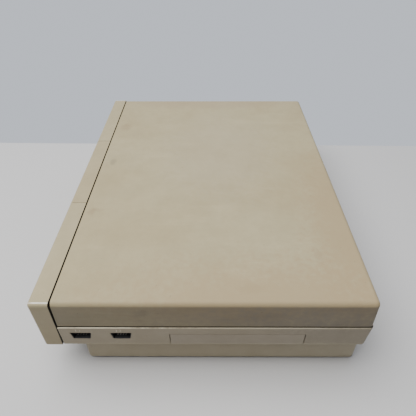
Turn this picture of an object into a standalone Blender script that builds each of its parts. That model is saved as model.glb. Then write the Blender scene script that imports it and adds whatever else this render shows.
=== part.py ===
"""Desktop computer system unit of the mid 1980s, about 450 x 331 x 108 mm.

A moulded lower case on a U-shaped plinth, so that a keyboard slides in under the front, a top cover,
a full-height front bezel, and inside them the boards, the power supply and a 3.5 inch disk drive.

Frame: +Z up, +X to the right of someone facing the front, front towards -Y.
Origin: middle of the footprint, at desk level.  Units: metres.
"""

import math

import bmesh
import bpy
from mathutils import Matrix, Vector

MM = 0.001

# ---------------------------------------------------------------- driving dimensions: the case
CASE_WIDTH = 450.0 * MM  # over the rim of the lower case
CASE_DEPTH = 331.0 * MM  # bezel face to back rim
CASE_HEIGHT = 108.0 * MM  # desk to top face
WALL = 3.0 * MM
BAY_HEIGHT = 43.5 * MM  # desk to the underside of the deck: the keyboard's head room
BAY_DEPTH = 215.0 * MM  # bezel face to the back of the keyboard bay
BAND_HEIGHT = 29.1 * MM  # height of the lower case's walls
SEAM_GAP = 1.4 * MM  # shadow gap between lower case and cover
RIM_STEP = 0.4 * MM  # the lower case stands this far proud of the cover
LOWER_DRAFT = 1.4 * MM  # its walls lean in this much towards the deck
COVER_DRAFT = 0.7 * MM  # the cover's walls lean in this much towards the top
COVER_RADIUS = 5.0 * MM
BEZEL_DEPTH = 17.9 * MM
BEZEL_GAP = 1.2 * MM
BEZEL_LEAN = 1.5 * MM  # the bezel's foot stands this far behind its head
BEZEL_RADIUS = 2.5 * MM
BEZEL_STEP = 0.6 * MM  # the bezel's ends stand this far inside the rim
FIT = 0.35 * MM  # clearance round what pulls off or is dropped in
TOUCH = 0.3 * MM  # gap between pieces that rest on each other

# ---------------------------------------------------------------- plinth, feet and posts
FOOT_HEIGHT = 2.5 * MM
FOOT_RADIUS = 6.5 * MM
FOOT_RECESS = 1.0 * MM
PLINTH_INSET = 10.5 * MM  # rim to the plinth's side
PLINTH_FRONT = 36.5 * MM  # bezel face to the front end of the rails
RAIL_WIDTH = 18.0 * MM
PLINTH_RADIUS = 3.5 * MM
RIB_THICKNESS = 2.0 * MM
POST_RADIUS = 4.5 * MM
POST_HEIGHT = 14.0 * MM  # over the deck's upper face
SCREW_RADIUS = 1.8 * MM
SCREW_HEAD_RADIUS = 3.4 * MM
SCREW_HEAD_HEIGHT = 2.2 * MM
SCREW_GRIP = 12.0 * MM  # how far a case screw reaches into the cover's boss

# ---------------------------------------------------------------- openings in the right wall
PORT_WIDTH = 19.4 * MM
PORT_HEIGHT = 8.7 * MM
PORT_LEAN = math.radians(14)
PORT_FROM_FRONT = 41.4 * MM  # bezel face to the first controller port
PORT_PITCH = 40.1 * MM
PORT_ABOVE_DECK = 11.8 * MM  # deck's upper face to the ports' centre line
EXPANSION_WIDTH = 135.3 * MM
EXPANSION_HEIGHT = 18.5 * MM
EXPANSION_FROM_FRONT = 130.5 * MM

# ---------------------------------------------------------------- bezel openings
MEMORY_WIDTH = 150.0 * MM
MEMORY_FROM_RIGHT = 153.0 * MM  # rim to the memory cover's right edge
CARD_WIDTH = 122.0 * MM
CARD_HEIGHT = 40.0 * MM
GROOVE = 1.0 * MM

# ---------------------------------------------------------------- boards and shields
SHEET = 0.8 * MM
BOARD_THICKNESS = 1.6 * MM
BOARD_CLEAR = 4.5 * MM  # deck to the underside of the main board
BOARD_TO_RIGHT = 13.0 * MM  # rim to the board's right edge
BOARD_TO_BACK = 13.5 * MM
BOARD_TO_FRONT = 32.5 * MM
SHIELD_HEIGHT = 13.4 * MM  # board to the top shield's roof
FINGER_WIDTH = 108.0 * MM
FINGER_LENGTH = 7.0 * MM

# ---------------------------------------------------------------- power supply side
SUPPLY_WIDTH = 102.0 * MM
SUPPLY_DEPTH = 230.0 * MM
SUPPLY_HEIGHT = 52.0 * MM
SUPPLY_TO_LEFT = 29.0 * MM
SUPPLY_TO_BACK = 25.5 * MM
FAN_SIZE = 50.0 * MM
FAN_DEPTH = 15.0 * MM
FAN_HUB_RADIUS = 10.0 * MM
FAN_BLADES = 7
SLOT_WIDTH = 2.4 * MM
SLOT_PITCH = 5.0 * MM
INLET_WIDTH = 27.0 * MM
INLET_HEIGHT = 19.6 * MM
INLET_FROM_LEFT = 32.0 * MM
INLET_COLLAR = 4.0 * MM  # how far its collar stands out at the sides
INLET_COLLAR_RISE = 1.2 * MM  # and above and below
SWITCH_LENGTH = 31.0 * MM
SWITCH_HEIGHT = 14.5 * MM
SWITCH_FROM_FRONT = 105.0 * MM
SWITCH_TILT = math.radians(12)

# ---------------------------------------------------------------- disk drive
DRIVE_WIDTH = 101.6 * MM
DRIVE_HEIGHT = 32.0 * MM
DRIVE_DEPTH = 146.0 * MM
DRIVE_FROM_RIGHT = 76.8 * MM  # rim to the drive's middle
DRIVE_SEAT = 3.0 * MM  # shield to the drive's underside
FACE_HEIGHT = 27.0 * MM
FACE_THICKNESS = 4.0 * MM
FACE_RECESS = 2.0 * MM
DISK_WIDTH = 90.0 * MM
DISK_THICKNESS = 3.3 * MM
SLOT_HEIGHT = 5.4 * MM
SLOT_ABOVE_BASE = 20.0 * MM
FLAP_THICKNESS = 1.2 * MM
BUTTON_WIDTH = 16.0 * MM
BUTTON_HEIGHT = 7.0 * MM
BUTTON_TRAVEL = 6.0 * MM
CAGE_DROP = 2.5 * MM
HEAD_TRAVEL = 15.0 * MM
LED_WIDTH = 5.0 * MM
LED_HEIGHT = 2.5 * MM

# ---------------------------------------------------------------- places worked out from them
HALF = CASE_WIDTH / 2
FRONT = -CASE_DEPTH / 2
BACK = CASE_DEPTH / 2
DECK_TOP = BAY_HEIGHT + WALL
RIM = BAY_HEIGHT + BAND_HEIGHT
SKIRT = RIM + SEAM_GAP
BEZEL_BACK = FRONT + BEZEL_DEPTH
CASE_FRONT = BEZEL_BACK + BEZEL_GAP
ROOF = CASE_HEIGHT - WALL
RAIL_OUTER = HALF - PLINTH_INSET
RAIL_INNER = RAIL_OUTER - RAIL_WIDTH
RAIL_MIDDLE = (RAIL_OUTER + RAIL_INNER) / 2
RAIL_FRONT = FRONT + PLINTH_FRONT
PLINTH_BACK = BACK - LOWER_DRAFT - 0.7 * MM
BAY_BACK = FRONT + BAY_DEPTH
POST_TOP = DECK_TOP + POST_HEIGHT
POST_FRONT_Y = CASE_FRONT + 6.4 * MM
POST_BACK_Y = BACK - 60.5 * MM
PORT_Z = DECK_TOP + PORT_ABOVE_DECK
PORT_Y = [FRONT + PORT_FROM_FRONT + i * PORT_PITCH for i in range(2)]
BOARD_Z = DECK_TOP + BOARD_CLEAR
BOARD_TOP = BOARD_Z + BOARD_THICKNESS
BOARD_RIGHT = HALF - BOARD_TO_RIGHT
BOARD_FRONT = FRONT + BOARD_TO_FRONT
BOARD_BACK = BACK - BOARD_TO_BACK
SUPPLY_LEFT = -HALF + SUPPLY_TO_LEFT
SUPPLY_RIGHT = SUPPLY_LEFT + SUPPLY_WIDTH
SUPPLY_BACK = BACK - SUPPLY_TO_BACK
SUPPLY_FRONT = SUPPLY_BACK - SUPPLY_DEPTH
SUPPLY_Z = DECK_TOP + 3.5 * MM
SUPPLY_TOP = SUPPLY_Z + SUPPLY_HEIGHT
BOARD_LEFT = SUPPLY_RIGHT + 6.0 * MM
SHIELD_TOP = BOARD_TOP + SHIELD_HEIGHT
MEMORY_RIGHT = HALF - MEMORY_FROM_RIGHT
MEMORY_LEFT = MEMORY_RIGHT - MEMORY_WIDTH
MEMORY_X = (MEMORY_LEFT + MEMORY_RIGHT) / 2
CARD_Z = DECK_TOP + 7.0 * MM
DRIVE_X = HALF - DRIVE_FROM_RIGHT
DRIVE_Z = SHIELD_TOP + DRIVE_SEAT
DRIVE_FRONT = FRONT + FACE_RECESS
CHASSIS_FRONT = DRIVE_FRONT + FACE_THICKNESS + TOUCH
DRIVE_BACK = CHASSIS_FRONT + DRIVE_DEPTH
DISK_Z = DRIVE_Z + SLOT_ABOVE_BASE
FACE_Z = DRIVE_Z + DRIVE_HEIGHT / 2 + 1.5 * MM
IO_PANEL_Y = BACK - 6.5 * MM  # outer face of the connector panel
IO_LEFT = BOARD_LEFT - 4.0 * MM
IO_RIGHT = HALF - 11.0 * MM
FAN_X = SUPPLY_LEFT + SUPPLY_WIDTH / 2 + 5.0 * MM
FAN_Z = SUPPLY_Z + SUPPLY_HEIGHT / 2
FAN_Y = SUPPLY_BACK + 1.0 * MM + FAN_DEPTH / 2
INLET_X = -HALF + INLET_FROM_LEFT
INLET_Z = DECK_TOP + 11.6 * MM
SWITCH_Y = FRONT + SWITCH_FROM_FRONT
SWITCH_Z = DECK_TOP + 11.8 * MM
SOCKET_Z = BOARD_TOP + 6.3 * MM  # centre line of the connectors at the back


# ---------------------------------------------------------------- scene and materials
def fresh_collection(name):
    """An empty collection of that name in the scene."""
    group = bpy.data.collections.get(name) or bpy.data.collections.new(name)
    if name not in bpy.context.scene.collection.children:
        bpy.context.scene.collection.children.link(group)
    return group


for old in list(bpy.data.objects):
    bpy.data.objects.remove(old)
PARTS = fresh_collection("desktop_computer")
CUTTERS = fresh_collection("cutters")


def finish(name, colour, roughness, metallic=0.0):
    """A Principled material, made once for each name."""
    found = bpy.data.materials.get(name)
    if found:
        return found
    made = bpy.data.materials.new(name)
    made.use_nodes = True
    shader = made.node_tree.nodes["Principled BSDF"]
    shader.inputs["Base Color"].default_value = (*colour, 1.0)
    shader.inputs["Roughness"].default_value = roughness
    shader.inputs["Metallic"].default_value = metallic
    made.diffuse_color = (*colour, 1.0)
    return made


BEIGE = finish("beige_plastic", (0.47, 0.42, 0.32), 0.55)
BLACK = finish("black_plastic", (0.02, 0.02, 0.02), 0.45)
STEEL = finish("zinc_steel", (0.55, 0.55, 0.53), 0.35, 1.0)
SCREW_STEEL = finish("screw_steel", (0.35, 0.35, 0.36), 0.3, 1.0)
GREEN = finish("green_laminate", (0.03, 0.16, 0.07), 0.4)
RUBBER = finish("grey_rubber", (0.09, 0.09, 0.09), 0.8)
RED_LENS = finish("red_lens", (0.55, 0.02, 0.02), 0.2)
RIBBON = finish("ribbon_grey", (0.35, 0.35, 0.36), 0.6)


# ---------------------------------------------------------------- shaping helpers
def settle(piece, name, material, home=None):
    """Names a new object, gives it its material and puts it in its collection."""
    piece.name = name
    piece.data.materials.clear()
    piece.data.materials.append(material)
    for group in list(piece.users_collection):
        group.objects.unlink(piece)
    (home or PARTS).objects.link(piece)
    return piece


def block(name, low, high, material=BEIGE):
    """A box between its lowest and its highest corner."""
    low, high = Vector(low), Vector(high)
    bpy.ops.mesh.primitive_cube_add(size=1.0)
    piece = bpy.context.active_object
    size = high - low
    piece.data.transform(Matrix.Diagonal((size.x, size.y, size.z, 1.0)))
    piece.location = (low + high) / 2
    return settle(piece, name, material)


def rod(name, radius, start, end, material=STEEL, sides=24, end_radius=None):
    """A cylinder, or a cone when end_radius is given, from one point to another."""
    start, end = Vector(start), Vector(end)
    mesh = bpy.data.meshes.new(name)
    shape = bmesh.new()
    bmesh.ops.create_cone(
        shape,
        cap_ends=True,
        segments=sides,
        radius1=radius,
        radius2=radius if end_radius is None else end_radius,
        depth=(end - start).length,
    )
    shape.to_mesh(mesh)
    shape.free()
    piece = bpy.data.objects.new(name, mesh)
    PARTS.objects.link(piece)
    piece.rotation_euler = (end - start).to_track_quat("Z", "Y").to_euler()
    piece.location = (start + end) / 2
    return settle(piece, name, material)


def slab(name, points, thickness, material=STEEL, facing="Z", at=(0, 0, 0)):
    """A flat outline with a thickness, made as a filled curve and turned into a mesh.

    facing Z: the outline is in X and Y. facing Y: in X and Z. facing X: in Y and Z.
    """
    curve = bpy.data.curves.new(name, "CURVE")
    curve.dimensions = "2D"
    curve.fill_mode = "BOTH"
    curve.extrude = thickness / 2
    line = curve.splines.new("POLY")
    line.points.add(len(points) - 1)
    for point, (x, y) in zip(line.points, points):
        point.co = (x, y, 0.0, 1.0)
    line.use_cyclic_u = True
    flat = bpy.data.objects.new(name + "_curve", curve)
    bpy.context.scene.collection.objects.link(flat)
    if facing == "Y":
        flat.matrix_world = Matrix.Translation(at) @ Matrix.Rotation(math.pi / 2, 4, "X")
    elif facing == "X":
        turn = Matrix(((0, 0, 1, 0), (1, 0, 0, 0), (0, 1, 0, 0), (0, 0, 0, 1)))
        flat.matrix_world = Matrix.Translation(at) @ turn
    else:
        flat.matrix_world = Matrix.Translation(at)
    bpy.context.view_layer.update()
    return meshed(flat, name, material)


def meshed(curve_object, name, material):
    """The mesh of a curve object, with its caps welded on; the curve is removed."""
    seen = curve_object.evaluated_get(bpy.context.evaluated_depsgraph_get())
    mesh = bpy.data.meshes.new_from_object(seen)
    shape = bmesh.new()
    shape.from_mesh(mesh)
    bmesh.ops.remove_doubles(shape, verts=shape.verts, dist=0.00001)
    bmesh.ops.dissolve_limit(shape, angle_limit=math.radians(0.5), verts=shape.verts, edges=shape.edges)
    bmesh.ops.recalc_face_normals(shape, faces=shape.faces)
    shape.to_mesh(mesh)
    shape.free()
    piece = bpy.data.objects.new(name, mesh)
    PARTS.objects.link(piece)
    piece.matrix_world = curve_object.matrix_world.copy()
    bpy.data.objects.remove(curve_object)
    return settle(piece, name, material)


def spend(tool):
    """Puts an object away as a cutter or a joined shape."""
    for group in list(tool.users_collection):
        group.objects.unlink(tool)
    CUTTERS.objects.link(tool)
    tool.hide_render = True
    tool.display_type = "WIRE"


def combine(piece, how, tools):
    for tool in tools:
        step = piece.modifiers.new(how.lower(), "BOOLEAN")
        step.operation = how
        step.object = tool
        step.solver = "EXACT"
        spend(tool)
    return piece


def cut(piece, *tools):
    return combine(piece, "DIFFERENCE", tools)


def fuse(piece, *tools):
    return combine(piece, "UNION", tools)


def keep_inside(piece, *tools):
    return combine(piece, "INTERSECT", tools)


def round_edges(piece, radius, chosen, segments=3):
    """Bevels the edges whose two ends satisfy chosen(a, b), in the object's place."""
    shape = bmesh.new()
    shape.from_mesh(piece.data)
    place = piece.matrix_basis
    edges = [e for e in shape.edges if chosen(place @ e.verts[0].co, place @ e.verts[1].co)]
    bmesh.ops.bevel(
        shape, geom=edges, offset=radius, segments=segments, profile=0.5, affect="EDGES", clamp_overlap=True
    )
    shape.to_mesh(piece.data)
    shape.free()
    return piece


def lean(piece, chosen, shift):
    """Moves the vertices that satisfy chosen(point) by shift(point): a draft or a taper."""
    for vertex in piece.data.vertices:
        place = piece.matrix_basis @ vertex.co
        if chosen(place):
            vertex.co = vertex.co + Vector(shift(place))
    return piece


def pivot(piece, point):
    """Moves an object's origin to a point, leaving the shape where it is."""
    move = Matrix.Translation(-Vector(point)) @ piece.matrix_basis
    piece.data.transform(move)
    piece.matrix_basis = Matrix.Translation(Vector(point))
    return piece


def smooth(piece, angle=35):
    piece.data.shade_smooth()
    piece.data.set_sharp_from_angle(angle=math.radians(angle))
    return piece


def sign(x):
    return 1.0 if x > 0 else -1.0


def near(a, b):
    return abs(a - b) < 1e-6


# ---------------------------------------------------------------- lower case
def tray_outside(name):
    """The lower case's outer form: a box whose walls lean in towards the deck."""
    piece = block(name, (-HALF, CASE_FRONT, BAY_HEIGHT), (HALF, BACK, RIM))
    lean(
        piece,
        lambda p: near(p.z, BAY_HEIGHT),
        lambda p: (-sign(p.x) * LOWER_DRAFT, -LOWER_DRAFT if p.y > 0 else 0.0, 0.0),
    )
    upright = lambda a, b: a.y > 0 and b.y > 0 and not near(a.z, b.z)
    return round_edges(piece, COVER_RADIUS, upright)


def d_outline(width, height, lean_angle, corner=1.2 * MM, steps=3):
    """A D-shaped opening, wide side up, with rounded corners, as points round the origin."""
    inset = height * math.tan(lean_angle)
    sharp = [
        (-width / 2, height / 2),
        (width / 2, height / 2),
        (width / 2 - inset, -height / 2),
        (-width / 2 + inset, -height / 2),
    ]
    return rounded(sharp, corner, steps)


def rounded(corners, radius, steps=3):
    """Replaces each corner of a polygon by a short arc of the given radius."""
    points = []
    count = len(corners)
    for i in range(count):
        here = Vector(corners[i])
        before = (Vector(corners[i - 1]) - here).normalized()
        after = (Vector(corners[(i + 1) % count]) - here).normalized()
        half_angle = before.angle(after) / 2
        reach = radius / math.tan(half_angle)
        centre = here + (before + after).normalized() * radius / math.sin(half_angle)
        start = here + before * reach - centre
        end = here + after * reach - centre
        turn = start.angle_signed(end)
        for k in range(steps + 1):
            point = start.copy()
            point.rotate(Matrix.Rotation(-turn * k / steps, 2))
            points.append(tuple(centre + point))
    return points


def plinth():
    """The U-shaped foot of the lower case, hollow and open to the inside."""
    outline = [
        (-RAIL_OUTER, RAIL_FRONT),
        (-RAIL_INNER, RAIL_FRONT),
        (-RAIL_INNER, BAY_BACK),
        (RAIL_INNER, BAY_BACK),
        (RAIL_INNER, RAIL_FRONT),
        (RAIL_OUTER, RAIL_FRONT),
        (RAIL_OUTER, PLINTH_BACK),
        (-RAIL_OUTER, PLINTH_BACK),
    ]
    height = BAY_HEIGHT + 1.0 * MM - FOOT_HEIGHT
    piece = slab("plinth", outline, height, BEIGE, "Z", (0, 0, FOOT_HEIGHT + height / 2))
    return round_edges(
        piece, PLINTH_RADIUS, lambda a, b: near(a.z, FOOT_HEIGHT) and near(b.z, FOOT_HEIGHT)
    )


def plinth_hollow():
    """What is cut from the plinth: its two rails and its back box, up through the deck."""
    low, high = FOOT_HEIGHT + WALL, DECK_TOP + 1.0 * MM
    outline = [
        (-RAIL_OUTER + WALL, RAIL_FRONT + WALL),
        (-RAIL_INNER - WALL, RAIL_FRONT + WALL),
        (-RAIL_INNER - WALL, BAY_BACK + WALL),
        (RAIL_INNER + WALL, BAY_BACK + WALL),
        (RAIL_INNER + WALL, RAIL_FRONT + WALL),
        (RAIL_OUTER - WALL, RAIL_FRONT + WALL),
        (RAIL_OUTER - WALL, PLINTH_BACK - WALL),
        (-RAIL_OUTER + WALL, PLINTH_BACK - WALL),
    ]
    return slab("plinth_hollow", outline, high - low, BEIGE, "Z", (0, 0, (low + high) / 2))


def post_places():
    """The four case screws: x, y and the height of the floor under each post."""
    front, back = POST_FRONT_Y, POST_BACK_Y
    rows = ((front, BAY_HEIGHT), (back, FOOT_HEIGHT))
    return [(s * RAIL_MIDDLE, y, floor) for y, floor in rows for s in (-1, 1)]


def foot_places():
    inset = 2 * FOOT_RADIUS + 4.0 * MM
    return {
        "foot_front_left": (-RAIL_MIDDLE, RAIL_FRONT + inset),
        "foot_front_right": (RAIL_MIDDLE, RAIL_FRONT + inset),
        "foot_rear_left": (-RAIL_MIDDLE, PLINTH_BACK - inset),
        "foot_rear_right": (RAIL_MIDDLE, PLINTH_BACK - inset),
    }


def slot_row(name, count, low, high, x=None, y=None):
    """Upright ventilation slots in a row, along X at a given y span or along Y at a given x span."""
    slots = []
    for i in range(count):
        offset = (i - (count - 1) / 2) * SLOT_PITCH
        if isinstance(x, tuple):
            middle = y + offset
            corners = (x[0], middle - SLOT_WIDTH / 2, low), (x[1], middle + SLOT_WIDTH / 2, high)
        else:
            middle = x + offset
            corners = (middle - SLOT_WIDTH / 2, y[0], low), (middle + SLOT_WIDTH / 2, y[1], high)
        slots.append(block(f"{name}_{i}", *corners))
    return slots


def expansion_block(name, gap=0.0):
    """The space of the side expansion opening, less a gap on its three cut sides."""
    y = FRONT + EXPANSION_FROM_FRONT
    return block(
        name,
        (HALF - WALL - LOWER_DRAFT - 2.6 * MM + gap, y + gap, BAY_HEIGHT - 1.0 * MM),
        (HALF + 1.0 * MM, y + EXPANSION_WIDTH - gap, BAY_HEIGHT + EXPANSION_HEIGHT - gap),
    )


def lower_case():
    piece = tray_outside("lower_case")
    hollow = block(
        "tray_hollow",
        (-HALF + WALL, CASE_FRONT - 1.0 * MM, DECK_TOP),
        (HALF - WALL, BACK - WALL, RIM + 1.0 * MM),
    )
    lean(
        hollow,
        lambda p: near(p.z, DECK_TOP),
        lambda p: (-sign(p.x) * LOWER_DRAFT, -LOWER_DRAFT if p.y > 0 else 0.0, 0.0),
    )
    round_edges(hollow, COVER_RADIUS - WALL, lambda a, b: a.y > 0 and b.y > 0 and not near(a.z, b.z))
    cut(piece, hollow)
    fuse(piece, plinth())
    cut(piece, plinth_hollow())
    fuse(piece, *rim_tongue(), *plinth_ribs(), *posts())
    for i, (x, y, floor) in enumerate(post_places()):
        bore = rod(
            f"post_bore_{i}", SCREW_RADIUS + 0.4 * MM, (x, y, floor - 1 * MM), (x, y, POST_TOP + 1 * MM)
        )
        head = rod(
            f"post_head_{i}",
            SCREW_HEAD_RADIUS + 0.6 * MM,
            (x, y, floor - 1 * MM),
            (x, y, head_seat(floor)),
        )
        cut(piece, bore, head)
    for name, (x, y) in foot_places().items():
        recess = rod(
            name + "_recess", FOOT_RADIUS + FIT, (x, y, 0), (x, y, FOOT_HEIGHT + FOOT_RECESS), sides=20
        )
        cut(piece, recess)
    for i, y in enumerate(PORT_Y):
        points = d_outline(PORT_WIDTH, PORT_HEIGHT, PORT_LEAN)
        cut(piece, slab(f"port_opening_{i}", points, 4 * WALL, BEIGE, "X", (HALF - WALL, y, PORT_Z)))
    cut(piece, expansion_block("expansion_opening"))
    cut(piece, switch_pocket(), *back_openings())
    vents = slot_row(
        "side_vent", 12, DECK_TOP + 4 * MM, RIM - 9 * MM, x=(-HALF - 2 * MM, -HALF + 2 * WALL), y=25 * MM
    )
    cut(piece, *vents)
    return smooth(piece)


def head_seat(floor):
    """Height of the seat that a case screw's head pulls against."""
    return floor + SCREW_HEAD_HEIGHT + 1.5 * MM


def rim_tongue():
    """The inner lip that locates the cover: a foot on the wall and a thin blade above it."""
    blade, reach, foot = 1.2 * MM, 4.0 * MM, 6.0 * MM
    outer = HALF - RIM_STEP - WALL - 0.4 * MM
    back_outer = BACK - RIM_STEP - WALL - 0.4 * MM
    start = CASE_FRONT + 8.0 * MM
    pieces = []
    for s in (-1, 1):
        sides = sorted((s * (outer - blade), s * outer))
        thick = sorted((s * (outer - blade), s * (HALF - WALL / 2)))
        thin = block(
            f"tongue_{s}", (sides[0], start, RIM - foot), (sides[1], back_outer - blade / 2, RIM + reach)
        )
        root = block(
            f"tongue_root_{s}",
            (thick[0] + 0.2 * MM, start + 0.5 * MM, RIM - foot + 1 * MM),
            (thick[1] - 0.2 * MM, back_outer - 1.5 * blade, RIM - 1.5 * MM),
        )
        pieces += [thin, root]
    ends = outer - blade / 3
    pieces.append(
        block(
            "tongue_back",
            (-ends, back_outer - blade, RIM - 1.8 * MM),
            (ends, back_outer, RIM + reach - 0.3 * MM),
        ),
    )
    pieces.append(
        block(
            "tongue_back_root",
            (-ends + blade, back_outer - blade / 2, RIM - 1.5 * MM),
            (ends - blade, BACK - WALL / 2, RIM - 0.5 * MM),
        )
    )
    return [cut(piece, *tongue_notches()) for piece in pieces]


def tall_sockets():
    """What stands highest along the back wall: middle, half width and top of each."""
    return {
        "inlet": (
            INLET_X,
            INLET_WIDTH / 2 + INLET_COLLAR,
            INLET_Z + INLET_HEIGHT / 2 + INLET_COLLAR_RISE,
        ),
        "tv": (HALF - TV_FROM_RIGHT, TV_RADIUS, SOCKET_Z + TV_RADIUS),
        "jack": (HALF - KEYBOARD_FROM_RIGHT, JACK_WIDTH / 2, SOCKET_Z + JACK_ABOVE),
    }


def tongue_notches():
    """Gaps in the tongue round the switch, the inlet and the two tall sockets, where they reach it."""
    gap = 0.5 * MM
    notches = [
        block(
            f"notch_{name}",
            (x - half - gap, BACK - 3 * WALL, DECK_TOP),
            (x + half + gap, BACK, top + gap),
        )
        for name, (x, half, top) in tall_sockets().items()
    ]
    low = (-HALF, SWITCH_Y - SWITCH_LENGTH / 2 - gap, DECK_TOP)
    high = (-HALF + 4 * WALL, SWITCH_Y + SWITCH_LENGTH / 2 + gap, SWITCH_Z + SWITCH_HEIGHT / 2 + gap)
    return [*notches, block("notch_switch", low, high)]


def plinth_ribs():
    """Three cross ribs in the back box of the plinth."""
    ribs = []
    for i in (-1, 0, 1):
        x = i * RAIL_INNER * 0.5
        low = (x - RIB_THICKNESS / 2, BAY_BACK + WALL / 2, FOOT_HEIGHT + WALL / 2)
        ribs.append(block(f"rib_{i}", low, (x + RIB_THICKNESS / 2, PLINTH_BACK - WALL / 2, BAY_HEIGHT)))
    return ribs


def posts():
    made = []
    for i, (x, y, floor) in enumerate(post_places()):
        made.append(rod(f"post_{i}", POST_RADIUS, (x, y, floor + 1 * MM), (x, y, POST_TOP), sides=20))
    return made


def switch_pocket():
    return block(
        "switch_pocket",
        (-HALF - 1 * MM, SWITCH_Y - SWITCH_LENGTH / 2 + 2 * MM, SWITCH_Z - SWITCH_HEIGHT / 2 + 1.2 * MM),
        (
            -HALF + 3 * WALL,
            SWITCH_Y + SWITCH_LENGTH / 2 - 2 * MM,
            SWITCH_Z + SWITCH_HEIGHT / 2 - 1.2 * MM,
        ),
    )


def back_openings():
    """The connector window, the mains inlet's hole and the lower row of fan slots."""
    span = (BACK - 2 * WALL, BACK + 2 * MM)
    window = block(
        "io_window",
        (IO_LEFT + 4 * MM, span[0], DECK_TOP + 1.5 * MM),
        (IO_RIGHT - 2.5 * MM, span[1], RIM - 2.6 * MM),
    )
    inlet = block(
        "inlet_hole",
        (INLET_X - INLET_WIDTH / 2 - FIT, span[0], INLET_Z - INLET_HEIGHT / 2 - FIT),
        (INLET_X + INLET_WIDTH / 2 + FIT, span[1], INLET_Z + INLET_HEIGHT / 2 + FIT),
    )
    sockets = []
    for name in ("tv", "jack"):
        x, half, top = tall_sockets()[name]
        low = (x - half - FIT, span[0], SOCKET_Z)
        sockets.append(block(f"{name}_opening", low, (x + half + FIT, span[1], top + FIT)))
    return [
        window,
        *sockets,
        inlet,
        *slot_row("lower_vent", 9, DECK_TOP + 4 * MM, RIM - 5 * MM, x=FAN_X, y=span),
    ]


# ---------------------------------------------------------------- top cover
def top_cover():
    side, back = HALF - RIM_STEP, BACK - RIM_STEP
    piece = block("top_cover", (-side, CASE_FRONT, SKIRT), (side, back, CASE_HEIGHT))
    drafted = lambda p: (-sign(p.x) * COVER_DRAFT, -COVER_DRAFT if p.y > 0 else 0.0, 0.0)
    lean(piece, lambda p: near(p.z, CASE_HEIGHT), drafted)
    on_top = lambda a, b: near(a.z, CASE_HEIGHT) and near(b.z, CASE_HEIGHT)
    outer = lambda a, b: (on_top(a, b) or not near(a.z, b.z)) and not (a.y < 0 and b.y < 0)
    sides = lambda a, b: on_top(a, b) and a.y * b.y < 0
    round_edges(piece, COVER_RADIUS, lambda a, b: outer(a, b) or sides(a, b), 5)
    hollow = block(
        "cover_hollow", (-side + WALL, CASE_FRONT - 1 * MM, SKIRT - 1 * MM), (
            side - WALL, back - WALL, ROOF
        )
    )
    lean(hollow, lambda p: near(p.z, ROOF), drafted)
    cut(piece, hollow)
    fuse(piece, *cover_ribs(side, back), *cover_bosses())
    for i, (x, y, _) in enumerate(post_places()):
        depth = POST_TOP + SCREW_GRIP + 3 * MM
        cut(
            piece,
            rod(
                f"boss_bore_{i}",
                SCREW_RADIUS + 0.2 * MM,
                (x, y, POST_TOP - 1 * MM),
                (x, y, depth),
                sides=12,
            ),
        )
    slots = slot_row(
        "upper_vent", 9, SKIRT + 4 * MM, ROOF - 4 * MM, x=FAN_X, y=(BACK - 2 * WALL, BACK + 2 * MM)
    )
    cut(piece, *slots)
    return smooth(piece)


def cover_ribs(side, back):
    """Shallow stiffening ribs under the roof, clear of the drive and the supply."""
    ribs = []
    for i in range(4):
        x = SUPPLY_RIGHT + 20 * MM + i * 45 * MM
        low = (x - RIB_THICKNESS / 2, CASE_FRONT + 10 * MM, ROOF - 1.5 * MM)
        ribs.append(
            block(f"roof_rib_{i}", low, (x + RIB_THICKNESS / 2, back - WALL / 2, ROOF + WALL / 2))
        )
    return ribs


def cover_bosses():
    return [
        rod(
            f"boss_{i}",
            POST_RADIUS - 0.5 * MM,
            (x, y, POST_TOP + TOUCH),
            (x, y, ROOF + WALL / 2),
            sides=20,
        )
        for i, (x, y, _) in enumerate(post_places())
    ]


# ---------------------------------------------------------------- front bezel and memory cover
def bezel_outside(name):
    """The bezel's outer form, from one end to the other, with its face leaning back at the foot."""
    end = HALF - BEZEL_STEP
    piece = block(name, (-end, FRONT, BAY_HEIGHT), (end, BEZEL_BACK, CASE_HEIGHT))
    lean(piece, lambda p: near(p.y, FRONT) and near(p.z, BAY_HEIGHT), lambda p: (0.0, BEZEL_LEAN, 0.0))
    at_front = lambda p: p.y < FRONT + 2 * BEZEL_LEAN
    head = lambda a, b: near(a.z, CASE_HEIGHT) and near(b.z, CASE_HEIGHT) and (at_front(a) or at_front(b))
    upright = lambda a, b: at_front(a) and at_front(b) and near(a.x, b.x)
    return round_edges(piece, BEZEL_RADIUS, lambda a, b: head(a, b) or upright(a, b), 4)


def front_groove(name):
    """A shallow line across the face, level with the seam of the case."""
    z = (RIM + SKIRT) / 2
    lean_here = BEZEL_LEAN * (CASE_HEIGHT - z) / (CASE_HEIGHT - BAY_HEIGHT)
    return block(
        name,
        (-HALF + 8 * MM, FRONT - 1 * MM, z - GROOVE / 2),
        (HALF - 8 * MM, FRONT + lean_here + 0.8 * MM, z + GROOVE / 2),
    )


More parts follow.
